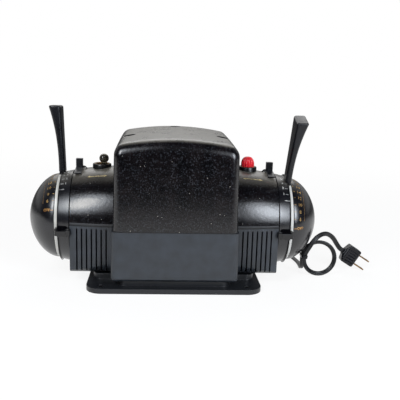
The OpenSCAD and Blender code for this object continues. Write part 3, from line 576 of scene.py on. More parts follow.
def box_walk(turns=12, along_x=28, along_y=12):
    """Once round a box, as rows (u, v, nx, ny): the corner, or the way between two, and the normal."""
    t = np.linspace(0, math.pi / 2, turns)
    sides = []
    for k, steps in enumerate((along_x, along_y, along_x, along_y)):
        corner = [(1, 1), (-1, 1), (-1, -1), (1, -1)][k]
        after = [(-1, 1), (-1, -1), (1, -1), (1, 1)][k]
        a = t + k * math.pi / 2
        sides.append(np.column_stack([np.tile(corner, (turns, 1)), np.cos(a), np.sin(a)]))
        f = np.linspace(0, 1, steps + 2)[1:-1, None]
        between = np.array(corner) * (1 - f) + np.array(after) * f
        normal = np.tile([math.cos(a[-1]), math.sin(a[-1])], (steps, 1))
        sides.append(np.concatenate([between, normal], axis=1))
    return np.concatenate(sides)


def hump_rings(inset, low):
    """Leaning walls, an edge r drawn in by r (1 - cos b) and down by r (1 - sin b), then the top."""
    u, v, nx, ny = box_walk().T[:, None, :]
    wall = np.linspace(0, 1, WALL_ROWS)[:, None]
    b = np.concatenate([np.zeros((WALL_ROWS, 1)), np.linspace(0, math.pi / 2, EDGE_ROWS + 1)[1:, None]])
    lean = HUMP_DRAFT * np.concatenate([wall, np.ones((EDGE_ROWS, 1))]) + inset
    end_r, front_r, upright = END_R - inset, FRONT_R - inset, UPRIGHT_R - inset
    corner = np.maximum(upright * np.cos(b), 0.1)
    half_x = HUMP_X - lean - end_r * (1 - np.cos(b)) - corner
    half_y = HUMP_Y - lean - front_r * (1 - np.cos(b)) - corner
    edge = front_r + (end_r - front_r) * nx**2
    x = u * half_x + nx * corner
    y = v * half_y + ny * corner
    top = top_height(x, np.clip(y, -CROWN_Y, CROWN_Y)) - inset
    z = top - edge * (1 - np.sin(b))
    z[:WALL_ROWS] = low + wall * (z[:WALL_ROWS] - low)
    share = np.linspace(1, 0, TOP_ROWS + 2)[1:-1, None]
    inner_x, inner_y = x[-1:] * share, y[-1:] * share
    inner_z = top_height(inner_x, inner_y) - inset
    return np.stack([np.concatenate(p) for p in ((x, inner_x), (y, inner_y), (z, inner_z))], axis=-1)


def barrel_rings(inset, low, rows=61, count=97):
    """Half-round sections closed below: y = R cos a, z = axis + R sin a, from seam to seam over the top."""
    x = np.linspace(inset - END_X, END_X - inset, rows)[:, None]
    radius = barrel_radius(x) - inset
    start = np.arcsin((low - AXIS_Z) / radius)
    a = start + (math.pi - 2 * start) * np.linspace(0, 1, count)[None, :]
    return np.stack([np.broadcast_to(x, a.shape), radius * np.cos(a), AXIS_Z + radius * np.sin(a)], axis=-1)


def post_rings(x, y, low, high, radius, count=64):
    """An upright cylinder."""
    return revolve([(radius, low), (radius, high)], count) + np.array([x, y, 0.0])


def gather(parts):
    """Several (points, faces) pairs as one, with the faces' numbers moved on."""
    starts = np.cumsum([0] + [len(np.reshape(points, (-1, 3))) for points, _ in parts])
    points = np.concatenate([np.reshape(points, (-1, 3)) for points, _ in parts])
    faces = [[int(v + start) for v in face] for (_, part), start in zip(parts, starts) for face in part]
    return points, faces


def cut_with(piece, tool, operation):
    """Applies a Boolean of piece and tool to the piece's mesh, and removes the tool."""
    modifier = piece.modifiers.new("join", "BOOLEAN")
    modifier.operation = operation
    modifier.solver = "MANIFOLD"
    modifier.object = tool
    depsgraph = bpy.context.evaluated_depsgraph_get()
    result = bpy.data.meshes.new_from_object(piece.evaluated_get(depsgraph))
    piece.modifiers.clear()
    piece.data = result
    bpy.data.objects.remove(tool)
    print("after", operation.lower(), len(result.polygons), "faces")


def from_axis(x, out, turn, aside=0.0):
    """Points at x, out from the dial axis and aside from there, turned from upright towards the front."""
    y = aside * np.cos(turn) - out * np.sin(turn)
    z = AXIS_Z + out * np.cos(turn) + aside * np.sin(turn)
    return np.stack(np.broadcast_arrays(x, y, z), axis=-1)


def slot_rings(side, count=25):
    """A lever slot: an arc of a thick ring across the barrel's top, as box sections at even angles."""
    turn = np.radians(np.linspace(-SLOT_SWEEP, SLOT_SWEEP, count))[:, None]
    x = np.array([[SLOT_IN[0], SLOT_OUT[0], SLOT_OUT[0], SLOT_IN[0]]])
    out = np.array([[SLOT_IN[1], SLOT_IN[1], SLOT_OUT[1], SLOT_OUT[1]]], float)
    return from_axis(side * x, out, turn)


def lofts(rings_list):
    """Each loft's points and faces."""
    return [(rings, loft_faces(*rings.shape[:2])) for rings in rings_list]


def many(rings_list):
    """Several lofts as one mesh's points and faces."""
    return gather(lofts(rings_list))


cover = make_loft("cover_skin", hump_rings(0, SEAM_Z))
cut_with(cover, make_loft("barrel", barrel_rings(0, SEAM_Z)), "UNION")
open_z = SEAM_Z - 6
cut_with(cover, make_loft("inner_hump", hump_rings(WALL, open_z)), "DIFFERENCE")
cut_with(cover, make_loft("inner_barrel", barrel_rings(WALL, open_z, 31, 49)), "DIFFERENCE")
seats = [float(arch(x)) - WELL_DEPTH for x, _ in SCREWS]
bosses, holes = [], []
for (x, y), seat in zip(SCREWS, seats):
    bosses.append(post_rings(x, y, seat - BOSS_BELOW, seat + BOSS_ABOVE, WELL_R + BOSS_WALL))
    holes.append(post_rings(x, y, seat, ABOVE_HUMP, WELL_R))
cut_with(cover, make_piece("bosses", *many(bosses)), "UNION")
for side in SIDES.values():
    holes.append(post_rings(side * LAMP_X, 0, LAMP_HOLE_LOW, LAMP_HOLE_HIGH, LAMP_HOLE_R))
holes += [slot_rings(side) for side in SIDES.values()]
cut_with(cover, make_piece("holes", *many(holes)), "DIFFERENCE")

# %% [markdown]
# Painted shade lines the three screw wells: each lining is a thin black cup that follows
# the arched top up to the rim, so the wells look as black as shade makes them.

# %% Painted shade in the wells
# One near-black matt finish serves as painted shade, in the screw wells and along the seam.
painted_shade = moulded("painted_shade_black", "#060606", "#0C0B0A", 0.8, peel=0.05)
wells = []
for (x, y), seat in zip(SCREWS, seats):
    # Three of the seven rings are then lifted to the cover's top: two at the rim and one inside.
    low, high = seat + 0.05, seat + 0.4
    wide, lip, near = WELL_R - 0.04, WELL_R + 0.8, WELL_R - 0.35
    radii = (HEAD_R, wide, wide, lip, near, near, HEAD_R)
    heights = (low, low, low, low, low, high, high)
    cup = revolve(list(zip(radii, heights)), 64) + np.array([x, y, 0.0])
    rim = cup[2:5]
    rim[..., 2] = top_height(rim[..., 0], rim[..., 1]) + np.array([[-0.03], [0.03], [0.06]])
    wells.append((cup, grid_faces(*cup.shape[:2], True, True)))
# The cups are painted shade: black linings where the wells lie in shadow.
dress(make_piece("well_painted_shade", *gather(wells)), painted_shade, "housing", "black_moulding")

# %% [markdown]
# A half-round bead runs along the cover's lower edge, just above the seam. It is four small
# closed solids sunk into the cover's wall, rubbed dull by years of hands. The seam itself shows
# as a thin dark line of painted shade: a black strip runs along it, a hair proud of the wall.


# %% Bead
BEAD_START, BEAD_END, BEAD_ROWS = 71, 122.7, 25
BEAD_OUT, BEAD_UP, BEAD_RISE = 0.65, 1.4, 2.25
SEAM_SHADE_IN, SEAM_SHADE_OUT, SEAM_SHADE_LOW, SEAM_SHADE_HIGH = 0.6, 0.12, -0.1, 0.9


def along_seam(out, rise):
    """Four bars along the barrel's seam. A corner stands out from the wall and rises from the seam in mm."""
    bars = []
    for side in (-1, 1):
        for front in (-1, 1):
            x = np.linspace(side * BEAD_START, side * BEAD_END, BEAD_ROWS)[:, None]
            y = front * (barrel_radius(x) + out)
            bars.append(np.stack(np.broadcast_arrays(x, y, SEAM_Z + rise), axis=-1))
    return bars


# The bead is an oval half sunk in the wall, and the seam's painted shade is a box 1 mm tall, proud by 0.12
# mm.
a = np.linspace(0, 2 * math.pi, 16, endpoint=False)[None, :]
trim = make_piece("cover_trim", *many(along_seam(BEAD_OUT * np.cos(a), BEAD_RISE + BEAD_UP * np.sin(a))))
dress(trim, trim_phenolic, "housing", "black_moulding")
corner_out = np.array([[-SEAM_SHADE_IN, SEAM_SHADE_OUT, SEAM_SHADE_OUT, -SEAM_SHADE_IN]])
corner_rise = np.array([[SEAM_SHADE_LOW, SEAM_SHADE_LOW, SEAM_SHADE_HIGH, SEAM_SHADE_HIGH]])
corner_pairs = zip(corner_out[0], corner_rise[0])
belt = np.stack([hump_rings(-out, SEAM_Z + rise)[0] for out, rise in corner_pairs])
strips = lofts(along_seam(corner_out, corner_rise)) + [(belt, grid_faces(*belt.shape[:2], True, True))]
# The black strips along the seam and round the foot of the hump are painted shade.
dress(make_piece("seam_painted_shade", *gather(strips)), painted_shade, "housing", "black_moulding")
soften(cover.data, 30)
dress(cover, cover_phenolic, "housing", "black_moulding", "upper_cover")

# %% [markdown]
# ## Lower housing and base
# The lower housing's ribs and the pressed base plate already have their true form in the frame.
# Real mouldings and pressings have no knife edges, so a merged copy of each gets a small Bevel
# modifier, and the light catches the edge of every rib.


# %% Rounded copies
def rounded_copy(name, node, width, material, body, slot, segments=2):
    """A merged copy of a CAD node, in place and with flat areas joined, and a Bevel in mm on its edges."""
    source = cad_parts[node]
    mesh = source.data.copy()
    mesh.transform(source.matrix_world)
    clean_mesh(mesh, from_cad=True)
    soften(mesh, 30)
    piece = new_object(name, mesh)
    bevel = piece.modifiers.new("mould edge", "BEVEL")
    bevel.width = width * MM
    bevel.segments = segments
    bevel.limit_method = "ANGLE"
    bevel.angle_limit = math.radians(40)
    bevel.harden_normals = True
    return dress(piece, material, body, slot, node)


def painted_steel():
    """Black enamel on pressed steel: even satin with a slight peel, chipped to grey in a few specks."""
    material, tree = new_material("black_enamel")
    where = add(tree, "TexCoord").outputs["Object"]
    cloud = add(tree, "TexNoise", {"Vector": where, "Scale": per_mm(20), "Detail": 6.0})
    black = {0: cloud.outputs["Fac"], MIX_A: linear("#121316"), MIX_B: linear("#1B1D21")}
    coat = add(tree, "Mix", black, data_type="RGBA")
    chips = add(tree, "TexNoise", {"Vector": where, "Scale": per_mm(3), "Detail": 4.0})
    chipped = add(tree, "MapRange", {0: chips.outputs["Fac"], 1: 0.72, 2: 0.76})
    bare = {0: chipped.outputs[0], MIX_A: coat.outputs[MIX_OUT], MIX_B: linear("#4A4744")}
    shade = add(tree, "Mix", bare, data_type="RGBA").outputs[MIX_OUT]
    rough = add(tree, "MapRange", {0: chips.outputs["Fac"], 1: 0.3, 2: 0.7, 3: 0.3, 4: 0.45})
    peel = add(tree, "Bump", {"Height": chips.outputs["Fac"], "Distance": 0.05 * MM, "Strength": 0.7})
    finish_with(tree, Base_Color=shade, Roughness=rough.outputs[0], IOR=1.5, Normal=peel.outputs[0])
    return material


enamel = painted_steel()
rounded_copy("ribbed_housing", "lower_housing", 0.45, housing_phenolic, "housing", "dark_moulding")
rounded_copy("pressed_base", "base_plate", 1.0, enamel, "housing", "painted_base", segments=3)

# %% [markdown]
# Each direction lever has a small wire hook beside its grip. It lies close to the barrel, so the
# copy's own hook is cut away and a half ring of wire takes its place.

# %% Levers
HOOK_X, HOOK_Z, HOOK_R, WIRE_R = 112.2, 128.9, 3, 0.8
SPACE_X = (102.0, 113.1)
space_corners = np.array([(-6, 130.2), (6, 130.2), (6, 150), (-6, 150)])
bend = np.radians(np.linspace(15, 172, 17))
around = np.linspace(0, 2 * math.pi, 12, endpoint=False)
wire_section = WIRE_R * np.stack([np.cos(around), np.sin(around)], axis=1)
for name, side in SIDES.items():
    body = f"{name}_direction"
    copied = (f"{name}_lever_moulding", f"{name}_direction_lever", 0.35)
    lever = rounded_copy(*copied, handle_phenolic, body, "black_moulding")
    space = np.stack([np.column_stack([np.full(4, side * x), space_corners]) for x in SPACE_X])
    cut_with(lever, make_loft("hook_space", space), "DIFFERENCE")
    hook_x = side * (HOOK_X + HOOK_R * np.cos(bend))
    hook_path = np.stack([hook_x, 0 * bend, HOOK_Z + HOOK_R * np.sin(bend)], axis=1)
    hook_rows = sweep(hook_path, wire_section, np.tile(REARWARD, (len(bend), 1)))
    dress(make_loft(f"{name}_lever_hook", hook_rows), handle_phenolic, body, "black_moulding")

# %% [markdown]
# ## Domes and dial bands
# Each end of the transformer is a dome that turns with its handle, and between it and the cover
# is a band that turns on its own. The dome's profile is a superellipse, fuller than a circle at
# its shoulder. Both are turned about the dial axis as closed shells with their real wall.

# %% Domes
DOME_X, DOME_R, HALF_LENGTH, DOME_POWER = 141.4, 52.0, 178.0, 1.82
DOME_WALL, DOME_BACK, DOME_BORE = 3, 144.4, 44.0
BAND_X, BAND_END, BAND_FLOOR = 123.3, 137.7, 134.7
BAND_IN, BAND_BORE = 52.5, 6.0
ROUND = 128


def dome_radius(x):
    """Radius of the dome at a distance along the axis: R (1 - share^n)^(1/n)."""
    share = np.clip((np.abs(x) - DOME_X) / (HALF_LENGTH - DOME_X), 0, 1)
    return DOME_R * (1 - share**DOME_POWER) ** (1 / DOME_POWER)


def dome_profile(inset, first):
    """Points (r, x) from the rim to the tip: r = R cos^(2/n) u, x = rim + length sin^(2/n) u."""
    u = np.linspace(math.radians(first), math.pi / 2, 40)
    r = (DOME_R - inset) * np.clip(np.cos(u), 0, 1) ** (2 / DOME_POWER)
    x = DOME_X + (HALF_LENGTH - DOME_X - inset) * np.sin(u) ** (2 / DOME_POWER)
    return np.stack([r, x], axis=1)


def on_dial_axis(points, side):
    """Lays a turned piece on the dial axis: its height runs outwards along X, and angle 0 is upright."""
    return np.stack([side * points[..., 2], -points[..., 1], AXIS_Z + points[..., 0]], axis=-1)


outer = dome_profile(0, 1.5)
inner = dome_profile(DOME_WALL, 12)[::-1]
dome_rim = [(51.5, DOME_X), (51.9, DOME_X + 0.15)]
dome_back = [(DOME_BORE, DOME_BACK), (DOME_BORE, DOME_X)]
dome_shell = [*dome_rim, *outer.tolist(), *inner.tolist(), *dome_back]
band_x = np.linspace(BAND_X + 0.9, BAND_END - 0.4, 9)
band_face = np.stack([barrel_radius(band_x), band_x], axis=1).tolist()
band_shell = [
    (54.0, BAND_X + 0.5), (56.2, BAND_X + 0.5), *band_face, (56.0, BAND_END - 0.1), (55.2, BAND_END),
    (BAND_BORE, BAND_END), (BAND_BORE, BAND_FLOOR), (BAND_IN, BAND_FLOOR),
]
for name, side in SIDES.items():
    dome = make_ring(f"{name}_dome_skin", on_dial_axis(revolve(dome_shell, ROUND), side), sharp=50)
    dress(dome, dial_phenolic, f"{name}_throttle", "black_moulding", f"{name}_dial_dome")

# %% [markdown]
# The band carries a small tab at the front that the thumb pushes. The tab is a wedge: its short
# upper face looks up and stays black, and its long lower face mirrors the table. A low block
# reaches over the light ring and another over the end of the cover.


# %% Bands
def block_rings(x0, x1, r0, r1, wide, angle, side, soft=0.7):
    """A soft-edged block from r0 to r1 off the axis, turned by an angle from upright towards the front."""
    level = np.array([0, 0.02, 0.5, 0.85, 1.0])
    shrink = np.array([0, 0, 0, 0.25, 1.0]) * soft
    loops = rounded_box_loop((x1 - x0) / 2 - shrink, wide / 2 - shrink, np.full(5, soft) + 0.2, 32)
    x = side * ((x0 + x1) / 2 + loops[..., 0])
    out = (r0 + (r1 - r0) * level)[:, None]
    return from_axis(x, out, math.radians(angle), loops[..., 1])


def wedge_rings(x0, x1, angle, side):
    """The tab's outline, t up the front and r off the axis, carried along X and drawn in at both ends."""
    t = np.array([-6.4, -6.4, -5.8, 1.3, 2.0, 6.2, 6.4, 6.4])
    r = np.array([53.0, 59.0, 59.7, 61.3, 61.0, 55.7, 55.3, 53.0])
    x = np.array([x0, x0 + 0.15, x0 + 0.5, x1 - 0.5, x1 - 0.15, x1])[:, None]
    draw = np.array([0.5, 0.15, 0, 0, 0.15, 0.5])[:, None]
    t = t * (1 - draw / 6.4)
    return from_axis(side * x, r - draw, math.radians(angle), t)


TAB_ANGLE = 96.3
for name, side in SIDES.items():
    shell = on_dial_axis(revolve(band_shell, ROUND), side)
    band = make_ring(f"{name}_band_skin", shell)
    dress(band, dial_phenolic, f"{name}_dial", "black_moulding", f"{name}_dial_band")
    wedge = wedge_rings(125.7, BAND_END, TAB_ANGLE, side)
    over_ring = block_rings(137.0, 140.4, 52.6, 59.4, 9.0, TAB_ANGLE + 1.2, side)
    over_cover = block_rings(121.6, 127.4, 57.4, 62.8, 8.0, TAB_ANGLE + 0.3, side)
    tab = make_piece(f"{name}_thumb_tab", *many([wedge, over_ring, over_cover]), sharp=18)
    dress(tab, tab_phenolic, f"{name}_dial", "black_moulding")

# %% [markdown]
# ## Throttle handles
# A handle flares from a narrow root to a broad, rounded tip. It is a loft: rounded rectangles
# whose four sides each follow a power of the height, closed over the tip by a quarter round.

# %% Handles
REST_ANGLE = {"left": -3.0, "right": 17.0}
ROOT_R, TIP_R = 55.0, 135.0
HANDLE_IN, LEAN_OUT = 134.4, 4.4
HANDLE_OUT, FLARE, FLARE_POWER = 142.2, 11.2, 2.2
ROOT_DEPTH, DEPTH_GAIN, DEPTH_POWER = 16, 12, 1.2
HANDLE_CORNER = 3.6


def handle_rings(side, angle, tip=2.4):
    """Sections at share t: x from 134.4 + 4.4 t to 142.2 + 11.2 t^2.2, depth 16 + 12 t^1.2, then the tip."""
    t = np.linspace(0, (TIP_R - tip - ROOT_R) / (TIP_R - ROOT_R), 26)
    beta = np.linspace(0, math.pi / 2, 8)[1:]
    t_all = np.concatenate([t, t[-1] + tip * np.sin(beta) / (TIP_R - ROOT_R)])
    shrink = np.concatenate([np.zeros(len(t)), tip * (1 - np.cos(beta))])
    low = HANDLE_IN + LEAN_OUT * t_all
    high = HANDLE_OUT + FLARE * t_all**FLARE_POWER
    depth = ROOT_DEPTH + DEPTH_GAIN * t_all**DEPTH_POWER
    corner = np.minimum(HANDLE_CORNER, (high - low) / 2 - 0.6)
    drawn_corner = np.maximum(corner - shrink, 0.05)
    loops = rounded_box_loop((high - low) / 2 - shrink, depth / 2 - shrink, drawn_corner, 48)
    x = side * ((low + high)[:, None] / 2 + loops[..., 0])
    out = ROOT_R + (TIP_R - ROOT_R) * t_all[:, None]
    return from_axis(x, out, math.radians(angle), loops[..., 1])


for name, side in SIDES.items():
    grip = handle_rings(side, REST_ANGLE[name])
    foot = block_rings(138.0, 141.4, 45.0, 56.0, 16.0, REST_ANGLE[name], side, soft=0.3)
    handle = make_piece(f"{name}_handle_moulding", *many([grip, foot]))
    dress(handle, handle_phenolic, f"{name}_throttle", "black_moulding", f"{name}_throttle_handle")

# %% [markdown]
# ## Printed marks
# The dials carry plain numbers and ticks, wiped in with gold, buff and white paint. Digits are typed
# flat, turned into a mesh, and then wrapped on the curved surface: their width runs along the
# dial axis, and their height becomes an angle round it.


# %% Flat artwork
def flat_digits(words, height):
    """Typed figures as a thin solid around their middle, in mm."""
    curve = bpy.data.curves.new("figures", "FONT")
    curve.body = words
    curve.size = height
    curve.offset = 0.006 * height
    curve.extrude = 0.12
    curve.resolution_u = 3
    curve.align_x = "CENTER"
    curve.align_y = "CENTER"
    holder = new_object("figures", curve)
    mesh = bpy.data.meshes.new_from_object(holder.evaluated_get(bpy.context.evaluated_depsgraph_get()))
    points = np.empty(3 * len(mesh.vertices))
    mesh.vertices.foreach_get("co", points)
    faces = [list(face.vertices) for face in mesh.polygons]
    bpy.data.objects.remove(holder)
    return points.reshape(-1, 3), faces


def flat_strip(x, half_height, thick=0.12):
    """A flat bar along x whose half height may change: four corners at each x, closed at both ends."""
    x, half = (np.asarray(v, float) for v in (x, half_height))
    corners = np.array([(-1, -1), (1, -1), (1, 1), (-1, 1)])
    rings = np.stack([np.repeat(x[:, None], 4, axis=1), half[:, None] * corners[:, 0],
                      np.broadcast_to(thick * corners[:, 1], (len(x), 4))], axis=-1)
    return rings.reshape(-1, 3), loft_faces(len(x), 4)


def wrap(art, x_mid, angle, radius_at):
    """Lays flat art on a turned surface of radius R: x = x_mid + u, the angle less v / R, out by R + w."""
    points, faces = art
    x = x_mid + points[:, 0]
    reach = radius_at(x)
    turn = math.radians(angle) - points[:, 1] / reach
    return from_axis(x, reach + points[:, 2], turn), faces


def printed_paint(name, colour, worn):
    """Wiped-in paint: a chalky colour that has worn thin and darker in places."""
    material, tree = new_material(name)
    where = add(tree, "TexCoord").outputs["Object"]
    wear = add(tree, "TexNoise", {"Vector": where, "Scale": per_mm(2), "Detail": 4.0})
    thin = add(tree, "MapRange", {0: wear.outputs["Fac"], 1: 0.42, 2: 0.62})
    layers = {0: thin.outputs[0], MIX_A: linear(colour), MIX_B: linear(worn)}
    shade = add(tree, "Mix", layers, data_type="RGBA").outputs[MIX_OUT]
    finish_with(tree, Base_Color=shade, Roughness=0.5)
    return material


cream_paint = printed_paint("cream_paint", "#D6C290", "#7A6A40")
buff_paint = printed_paint("buff_paint", "#B08A4E", "#4A3A20")
gold_paint = printed_paint("gold_paint", "#D29C52", "#8A5C28")
white_paint = printed_paint("white_paint", "#CFCFCB", "#6A6B6E")

# %% Dial marks
OFF_ANGLE = 73.5
FIRST_MARK, MARK_STEP, MARK_COUNT = 12.5, 10.2, 8
BAND_START = {"left": 43.5, "right": 54.0}
BAND_STEP, BAND_COUNT = 9.2, 9
ARC_INNER, ARC_OUTER, ARC_POINTS = 155.4, 155.9, 40
ARROW_X, ARROW_ANGLE = 93.5, 27
dim_gold = printed_paint("dim_gold_paint", "#7A5A32", "#3E2F1C")


def tick(half_length, half_height):
    """A short flat bar."""
    return flat_strip([-half_length, half_length], [half_height, half_height])


def dome_marks(side, zero):
    """Numbers from 6 up in twos, then their ticks, at even angles from the dial's zero."""
    angles = [zero - FIRST_MARK - MARK_STEP * i for i in range(MARK_COUNT)]
    values = [str(6 + 2 * i) for i in range(MARK_COUNT)]
    marks = [wrap(flat_digits(v, 5.6), side * 150.2, at, dome_radius) for v, at in zip(values, angles)]
    return marks + [wrap(tick(1.2, 0.28), side * 143.8, at, dome_radius) for at in angles]


def band_scale(side, start):
    """A long tick and eight short ones, then the numbers 1 to 8, at even angles."""
    angles = [start - BAND_STEP * i for i in range(BAND_COUNT)]
    halves = [3.2] + [1.6] * (BAND_COUNT - 1)
    marks = [wrap(tick(h, 0.32), side * 134.4, at, barrel_radius) for h, at in zip(halves, angles)]
    for i in range(1, BAND_COUNT):
        marks.append(wrap(flat_digits(str(i), 4.8), side * 130.2, angles[i], barrel_radius))
    return marks


def dome_arc(side, zero):
    """A thin raised line round the dome, from 60 to 10 degrees short of the dial's zero."""
    turn = np.radians(np.linspace(zero - 60, zero - 10, ARC_POINTS))[:, None]
    x = side * np.array([ARC_INNER, ARC_OUTER, ARC_OUTER, ARC_INNER])
    return many([from_axis(x, dome_radius(x) + np.array([-0.1, -0.1, 0.12, 0.12]), turn)])


def print_marks(name, art, paint_used, body, slot):
    """One printed piece from gathered art."""
    dress(make_piece(name, *art, sharp=20), paint_used, body, slot)


# The arrow's half height at each x: a point, a barb, a thin shaft and the same again.
arrow_x = np.array([0, 3.8, 3.81, 6.5, 9.5, 12.5, 15.5, 18.5, 20.19, 20.2, 24.0]) - 12
arrow_half = np.array([0.02, 1.8, 0.5, 0.5, 0.5, 0.5, 0.5, 0.5, 0.5, 1.8, 0.02])
for name, side in SIDES.items():
    zero = REST_ANGLE[name] + OFF_ANGLE
    off_word = wrap(flat_digits("OFF", 4.6), side * 150.4, zero, dome_radius)
    off_tick = wrap(tick(1.5, 0.3), side * 144.2, zero, dome_radius)
    arrow = wrap(flat_strip(arrow_x, arrow_half), side * ARROW_X, ARROW_ANGLE, barrel_radius)
    throttle = f"{name}_throttle"
    print_marks(f"{name}_dome_numbers", gather(dome_marks(side, zero)), buff_paint, throttle, "white_ring")
    print_marks(f"{name}_dome_arc", dome_arc(side, zero), dim_gold, throttle, "brass")
    print_marks(f"{name}_off_mark", gather([off_word, off_tick]), gold_paint, throttle, "brass")
    scale = gather(band_scale(side, BAND_START[name]))
    print_marks(f"{name}_band_marks", scale, white_paint, f"{name}_dial", "white_ring")
    print_marks(f"{name}_direction_arrow", arrow, cream_paint, "housing", "brass")

# %% [markdown]
# ## Lamps
# Two lamps stand in black bezels on the barrel. The right one keeps its fluted red lens. The
# left one has lost its lens, so the bare bulb shows. Glass is a real shell with an outside and
# an inside.


# %% Glass finishes
def glass(name, colour, roughness, ior, clear=1.0):
    """Clear or dyed glass, tinted by its base colour. A cloudy lens lets only part of the light through."""
    material, tree = new_material(name)
    finish_with(tree, Base_Color=linear(colour), Roughness=roughness, IOR=ior, Transmission_Weight=clear)
    return material


# The bulbs are clear; the grey base colour of their glass is painted shade, which dims the white seen through
# it.
clear_glass = glass("bulb_glass_tinted_as_shade", "#8A867B", 0.02, 1.47)
ruby_glass = glass("ruby_lens", "#EE2A36", 0.22, 1.45, clear=0.25)


# %% Lamps
def stand_at(points, x, y):
    """Moves a turned piece to its place on the plan."""
    return points + np.array([x, y, 0.0])


def bulb_profile(radius, middle, low):
    """A globe on a neck: a circle about the middle's height down to the neck, then straight."""
    a = np.linspace(math.pi / 2, -math.asin(0.8), 24)
    globe = np.stack([radius * np.cos(a), middle + radius * np.sin(a)], axis=1)
    return [*globe.tolist(), (0.58 * radius, middle - 1.15 * radius), (0.58 * radius, low)]


bezel_profile = [
    (8.2, 125), (11.3, 125), (11.3, 134.6), (11.0, 135.5),
    (10.4, 136), (9.2, 136), (8.6, 135.6), (8.2, 134.9),
]
rim_profile = [(8.3, 135.0), (9.0, 135.0), (9.0, 135.95), (8.3, 135.95)]
for name, side in SIDES.items():
    bezel = make_ring(f"{name}_bezel_ring", stand_at(revolve(bezel_profile, 72), side * LAMP_X, 0))
    dress(bezel, bezel_phenolic, "housing", "black_moulding", f"{name}_bezel")
    rim = make_ring(f"{name}_bezel_rim", stand_at(revolve(rim_profile, 72), side * LAMP_X, 0))
    dress(rim, gold_paint, "housing", "brass")
# The bare bulb leans in its socket, so its globe stands nearer the hump than the bezel's middle.
BULB_X, BULB_R, BULB_WALL, BULB_Z, BULB_LOW = -87.6, 5.8, 0.5, 142.2, 124.0
bulb_outer = bulb_profile(BULB_R, BULB_Z, BULB_LOW)
bulb_inner = bulb_profile(BULB_R - BULB_WALL, BULB_Z, BULB_LOW)[::-1]
bulb = make_ring("left_bulb", stand_at(revolve([*bulb_outer, *bulb_inner], 48), BULB_X, 0), sharp=60)
dress(bulb, clear_glass, "housing", "clear_glass", "left_lamp")
FLUTES, FLUTE_DEPTH = 18, 0.085
lens_a = np.linspace(0, math.pi / 2, 16)
lens_outer = np.stack([8.15 * np.cos(lens_a) ** 0.8, 139 + 9.1 * np.sin(lens_a)], axis=1)
lens_inner = np.stack([6.5 * np.cos(lens_a) ** 0.8, 138 + 8.4 * np.sin(lens_a)], axis=1)[::-1]
lens_shell = [(8.15, 132), *lens_outer.tolist(), *lens_inner.tolist(), (6.5, 132)]
lens_points = revolve(
    lens_shell, 16 * FLUTES, flute=lambda a: -FLUTE_DEPTH * np.abs(np.cos(FLUTES / 2 * a)) ** 0.6
)
lens = make_ring("ruby_lens_cap", stand_at(lens_points, LAMP_X, 0), sharp=60)
dress(lens, ruby_glass, "housing", "red_glass", "red_lens")

# %% [markdown]
# ## Metals and inner parts
# The parts inside and at the rear keep their shapes from the frame. Each gets a finish named
# for what it is: rolled steel, brass, nickel plate, varnished copper wire, stacked laminations,
# pressed carbon and fibre board.


# %% Metal and board finishes
WAVE_PERIOD = 0.3142
DRAWN_COARSER = 2


def metal(name, colour, stain, roughness, grain=1.2):
    """Bare or plated metal: fully metallic, with patches of tarnish and a fine uneven polish."""
    material, tree = new_material(name)
    where = add(tree, "TexCoord").outputs["Object"]
    cloud = add(tree, "TexNoise", {"Vector": where, "Scale": per_mm(8), "Detail": 6.0})
    patches = add(tree, "MapRange", {0: cloud.outputs["Fac"], 1: 0.42, 2: 0.68})
    polish = add(tree, "TexNoise", {"Vector": where, "Scale": per_mm(grain), "Detail": 3.0})
    spread = {0: polish.outputs["Fac"], 1: 0.3, 2: 0.7, 3: roughness * 0.8, 4: roughness * 1.3}
    rough = add(tree, "MapRange", spread)
    rounded = add(tree, "Bevel", {"Radius": 0.3 * MM}, samples=3)
    skin = {"Height": polish.outputs["Fac"], "Distance": 0.02 * MM, "Normal": rounded.outputs[0]}
    bump = add(tree, "Bump", skin)
    tarnish = {0: patches.outputs[0], MIX_A: linear(colour), MIX_B: linear(stain)}
    shade = add(tree, "Mix", tarnish, data_type="RGBA").outputs[MIX_OUT]
    finish_with(tree, Base_Color=shade, Roughness=rough.outputs[0], Metallic=1.0, Normal=bump.outputs[0])
    return material


def layered(name, colour, line, pitch, direction, roughness, metallic=0.0):
    """Stacked sheets or wound wire: dark lines at an even pitch across one axis."""
    material, tree = new_material(name)
    where = add(tree, "TexCoord").outputs["Object"]
    # The wave repeats every pi / 10 over its scale. Lines at the real pitch are too fine to show
    # in the picture, so they are drawn twice as coarse.
    scale = per_mm(pitch) * WAVE_PERIOD / DRAWN_COARSER
    wave = {"Vector": where, "Scale": scale, "Distortion": 0.4, "Detail": 2.0}
    bands = add(tree, "TexWave", wave, bands_direction=direction)
    lined = {0: bands.outputs["Fac"], MIX_A: linear(line), MIX_B: linear(colour)}
    shade = add(tree, "Mix", lined, data_type="RGBA").outputs[MIX_OUT]
    bump = add(tree, "Bump", {"Height": bands.outputs["Fac"], "Distance": 0.2 * MM})
    finish_with(tree, Base_Color=shade, Roughness=roughness, Metallic=metallic, Normal=bump.outputs[0])
    return material


def paint(material, *nodes):
    """Gives CAD nodes a finish, whatever slots they came with."""
    for node in nodes:
        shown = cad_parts[node]
        if not shown.material_slots:
            shown.data.materials.append(material)
        for material_slot in shown.material_slots:
            material_slot.material = material


def both(word):
    """The left and right node of one name."""
    return [f"{name}_{word}" for name in SIDES]


